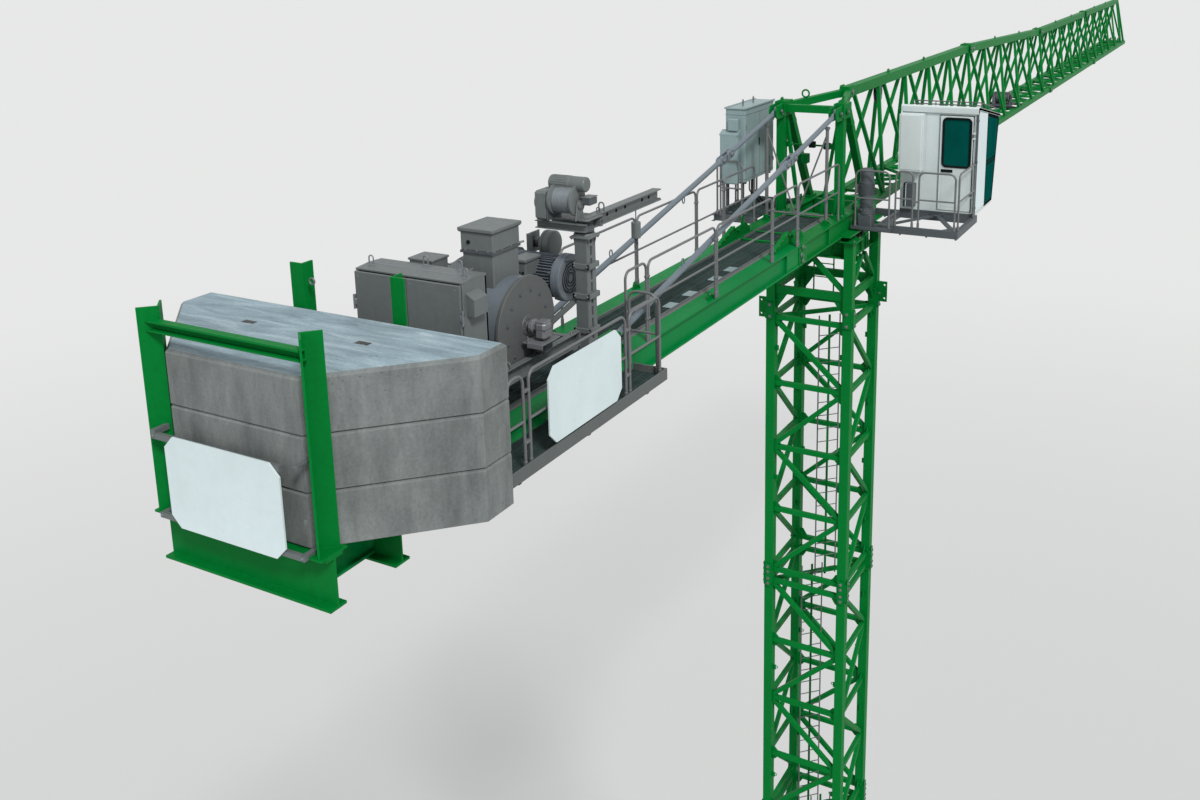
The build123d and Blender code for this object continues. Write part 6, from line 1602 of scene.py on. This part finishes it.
# pulley hanger plate and node plates where the bracing meets the chords
for k in range(4):
    y0, y1 = JY[k], JY[k + 1]
    pitch = (y1 - y0) / 5
    for i in range(5):
        yb = y0 + pitch * (i + 0.5)
        for s in (-1, 1):
            d = Vector((-s * 0.418, 0, top_z(yb) - 0.06 - 30.83)).normalized()
            P.plate([(yb - 0.15, 0.060), (yb + 0.15, 0.060), (yb + 0.08, 0.155), (yb - 0.08, 0.155)],
                    Vector((s * 0.48, 0, 30.83)) - EY.cross(d) * 0.007, EY, d, 0.014, 0.002)
        for e in (0, 1):
            yt = y0 + pitch * (i + e)
            if 1.6 < yt < 42.0 and e == 1 and i < 4:
                zt = top_z(yt) - 0.10
                P.plate([(yt - 0.24, zt + 0.01), (yt + 0.24, zt + 0.01), (yt + 0.14, zt - 0.07), (yt - 0.14, zt - 0.07)], (-0.008, 0, 0), EY, EZ, 0.016, 0.002, 0)
P.done("slewing")

P = Piece("pulley_block", [GREY_D, STEEL, BLACK])
for s in (-1, 1):
    P.plate([(3.17, 33.03), (3.37, 33.03), (3.38, 32.86), (3.33, 32.72), (3.27, 32.69), (3.21, 32.72), (3.16, 32.86)],
            (s * 0.060 - 0.008, 0, 0), EY, EZ, 0.016, 0.003)
    P.lathe([(0, 0.034), (0.014, 0.034), (0.018, 0.026)], (s * 0.068, 3.27, 32.80), (s, 0, 0), 18, 1)
    P.bolt((s * 0.068, 3.27, 32.96), (s, 0, 0), 0.014, 0.012, 1)
P.lathe([(-0.030, 0.03), (-0.030, 0.150), (-0.024, 0.160), (-0.016, 0.160), (-0.006, 0.138), (0.006, 0.138), (0.016, 0.160), (0.024, 0.160),
         (0.030, 0.150), (0.030, 0.03)], (0, 3.27, 32.80), EX, 44, 0)
P.box(-0.072, 0.072, 3.17, 3.37, 33.020, 33.040, 0.004)
P.pipe(arc_path([(0.05, 3.00, 33.02), (0.05, 3.02, 32.92), (0.05, 3.16, 32.90)], 0.05), 0.010, 8, mat=0)
P.done("slewing", replaces=["jib_pulley_unit"])

P = Piece("trolley_winch_unit", [GREY_D, GREY, STEEL, BLACK])
for y in (16.08, 16.92):
    P.prism(channel_section(0.05, 0.05, 0.006, 1), (-0.50, y - 0.025, 30.925), (0.50, y - 0.025, 30.925))
P.box(-0.33, 0.33, 16.05, 16.95, 30.950, 30.968, 0.004)
P.plate([(16.24, 30.97), (16.76, 30.97), (16.72, 31.20), (16.62, 31.33), (16.38, 31.33), (16.28, 31.20)], (-0.30, 0, 0), EY, EZ, 0.095, 0.010)
P.lathe([(-0.305, 0.02), (-0.305, 0.10), (-0.300, 0.12), (-0.20, 0.12), (-0.20, 0.19), (-0.196, 0.195), (-0.195, 0.195)], (0, 16.50, 31.19), EX, 40, 0)
P.plate([(16.32, 30.97), (16.68, 30.97), (16.60, 31.27), (16.40, 31.27)], (0.215, 0, 0), EY, EZ, 0.02, 0.004)
P.lathe([(0.21, 0.06), (0.25, 0.06), (0.258, 0.05), (0.285, 0.03)], (0, 16.50, 31.19), EX, 24, 2)
P.lathe([(-0.20, 0.085), (-0.19, 0.09), (0.06, 0.09), (0.065, 0.096), (0.10, 0.094), (0.105, 0.07), (0.105, 0.02)], (0, 16.82, 31.10), EX, 36, 1)
for i in range(22):
    a = 2 * math.pi * i / 22
    u = Vector((0, math.cos(a), math.sin(a)))
    P.obox(Vector((-0.06, 16.82, 31.10)) + u * 0.091, EX, u, EX.cross(u), 0.22, 0.014, 0.006, 0.001, 1)
P.obox((-0.05, 16.82, 31.205), EX, EY, EZ, 0.11, 0.10, 0.05, 0.006, 1)
P.box(-0.30, -0.20, 16.70, 16.92, 30.97, 31.20, 0.012)
for x in (-0.28, 0.28):
    for y in (16.10, 16.90):
        P.bolt((x, y, 30.968), EZ, 0.014, 0.014, 2)
P.done("slewing", replaces=["trolley_winch"])

P = Piece("trolley_drum_shell", [GREY, STEEL])
prof = [(-0.19, 0.03), (-0.19, 0.178), (-0.186, 0.185), (-0.166, 0.185), (-0.160, 0.155)]
for i in range(16):
    x = -0.156 + 0.0195 * i
    prof += [(x, 0.147), (x + 0.006, 0.1525), (x + 0.0135, 0.1525)]
prof += [(0.160, 0.155), (0.166, 0.185), (0.186, 0.185), (0.19, 0.178), (0.19, 0.03)]
P.lathe(prof, (0, 16.50, 31.19), EX, 48, 0)
for i in range(6):
    a = 2 * math.pi * i / 6
    P.bolt((0.19, 16.50 + 0.12 * math.cos(a), 31.19 + 0.12 * math.sin(a)), EX, 0.011, 0.010, 1)
P.done("trolley_winch_drum", replaces=["trolley_winch_drum"])

P = Piece("jib_tip_fittings", [GREEN, STEEL, GREY_D])
P.lathe([(-0.05, 0.19), (-0.045, 0.203), (-0.03, 0.203), (-0.012, 0.180), (0.012, 0.180), (0.03, 0.203), (0.045, 0.203), (0.05, 0.19)],
        (0, 42.72, 30.85), EX, 44, 2)
for s in (-1, 1):
    P.lathe([(0, 0.045), (0.014, 0.045), (0.018, 0.038)], (s * 0.192, 42.72, 30.85), (s, 0, 0), 18, 1)
    P.box(s * 0.48 - 0.075, s * 0.48 + 0.075, 42.19, 42.215, 30.75, 30.91, 0.004)
P.done("slewing")

# ----------------------------------------------------------------------
# finishes of the CAD nodes
# ----------------------------------------------------------------------
for n, m in (("base_plate", GREEN), ("mast_legs", GREEN), ("mast_bracing_rear", GREEN), ("mast_bracing_front", GREEN),
             ("mast_bracing_left", GREEN), ("mast_bracing_right", GREEN), ("mast_ladder", GREEN_PAINTED_SHADE), ("mast_plan_struts", GREEN), ("turntable", GREEN), ("mast_head", GREEN),
             ("slewing_ring", STEEL), ("slewing_deck", GREEN), ("slewing_motor", GREY_D), ("tower_head", GREEN),
             ("jib_top_chord", GREEN), ("jib_bottom_chords", GREEN), ("jib_lacing_left", GREEN), ("jib_lacing_right", GREEN),
             ("jib_bottom_lacing", GREEN), ("jib_tip", GREEN), ("jib_pulley_unit", GREY_D), ("trolley_winch", GREY_D),
             ("trolley_winch_drum", GREY_D), ("counterjib_beams", GREEN_B), ("counterjib_crossbeams", GREEN), ("counterjib_lugs", GREEN), ("plate_frame", GREY),
             ("counterweight_frame", GREEN), ("counterweight_block_lower", CONC), ("counterweight_block_middle", CONC),
             ("counterweight_block_upper", CONC), ("blank_plates", PLATE), ("walkway", DARK), ("railing_left", RAIL),
             ("railing_right", RAIL), ("side_platform", GALV), ("railing_side", RAIL), ("tie_bars", TIE),
             ("tie_bar_stand", RAIL), ("winch_base", GREY), ("winch_gearcase", GREY), ("hoist_drum", BLUEG),
             ("winch_motor", GREY_D), ("switch_cabinet", GREY), ("switch_cabinet_door_left", GREY),
             ("switch_cabinet_door_right", GREY), ("davit_post", GREY), ("davit_arm", GREY), ("cabinet_platform", GREY_D),
             ("railing_cabinet", RAIL), ("light_cabinet", LIGHT), ("cab_body", WHITE), ("cab_glazing", GLASS),
             ("cab_door", WHITE), ("cab_platform", GREY_D), ("railing_cab", RAIL)):
    own(n, m)

# pale floor, darker near the crane and a little lighter far away: painted light falloff round the crane, which also
# sends less light back up
fl = bpy.data.meshes.new("studio_floor")
S = 1500.0
fl.from_pydata([(-S, -S, 0), (S, -S, 0), (S, S, 0), (-S, S, 0)], [], [(0, 1, 2, 3)])
floor = bpy.data.objects.new("studio_floor", fl)
scene.collection.objects.link(floor)
ft = Tree("studio_floor_mat")
dist = ft.node("ShaderNodeVectorMath", operation="LENGTH")
ft.link(ft.co, "Object", dist, "Vector")
# painted shade: 0 close round the crane, 1 far away
painted_falloff = ft.node("ShaderNodeMapRange", interpolation_type="SMOOTHSTEP")
painted_falloff.inputs["From Min"].default_value = 12.5
painted_falloff.inputs["From Max"].default_value = 60.0
ft.link(dist, "Value", painted_falloff, "Value")
fm = ft.mix(painted_falloff, "Result", (0.40, 0.405, 0.405, 1), None, (0.485, 0.49, 0.49, 1), None)
ft.nt.links.new(ft.mix_out(fm), ft.bsdf.inputs["Base Color"])
ft.bsdf.inputs["Roughness"].default_value = 0.9
ft.bsdf.inputs["Specular IOR Level"].default_value = 0.1
fl.materials.append(ft.mat)
floor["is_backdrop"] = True

lo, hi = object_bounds()
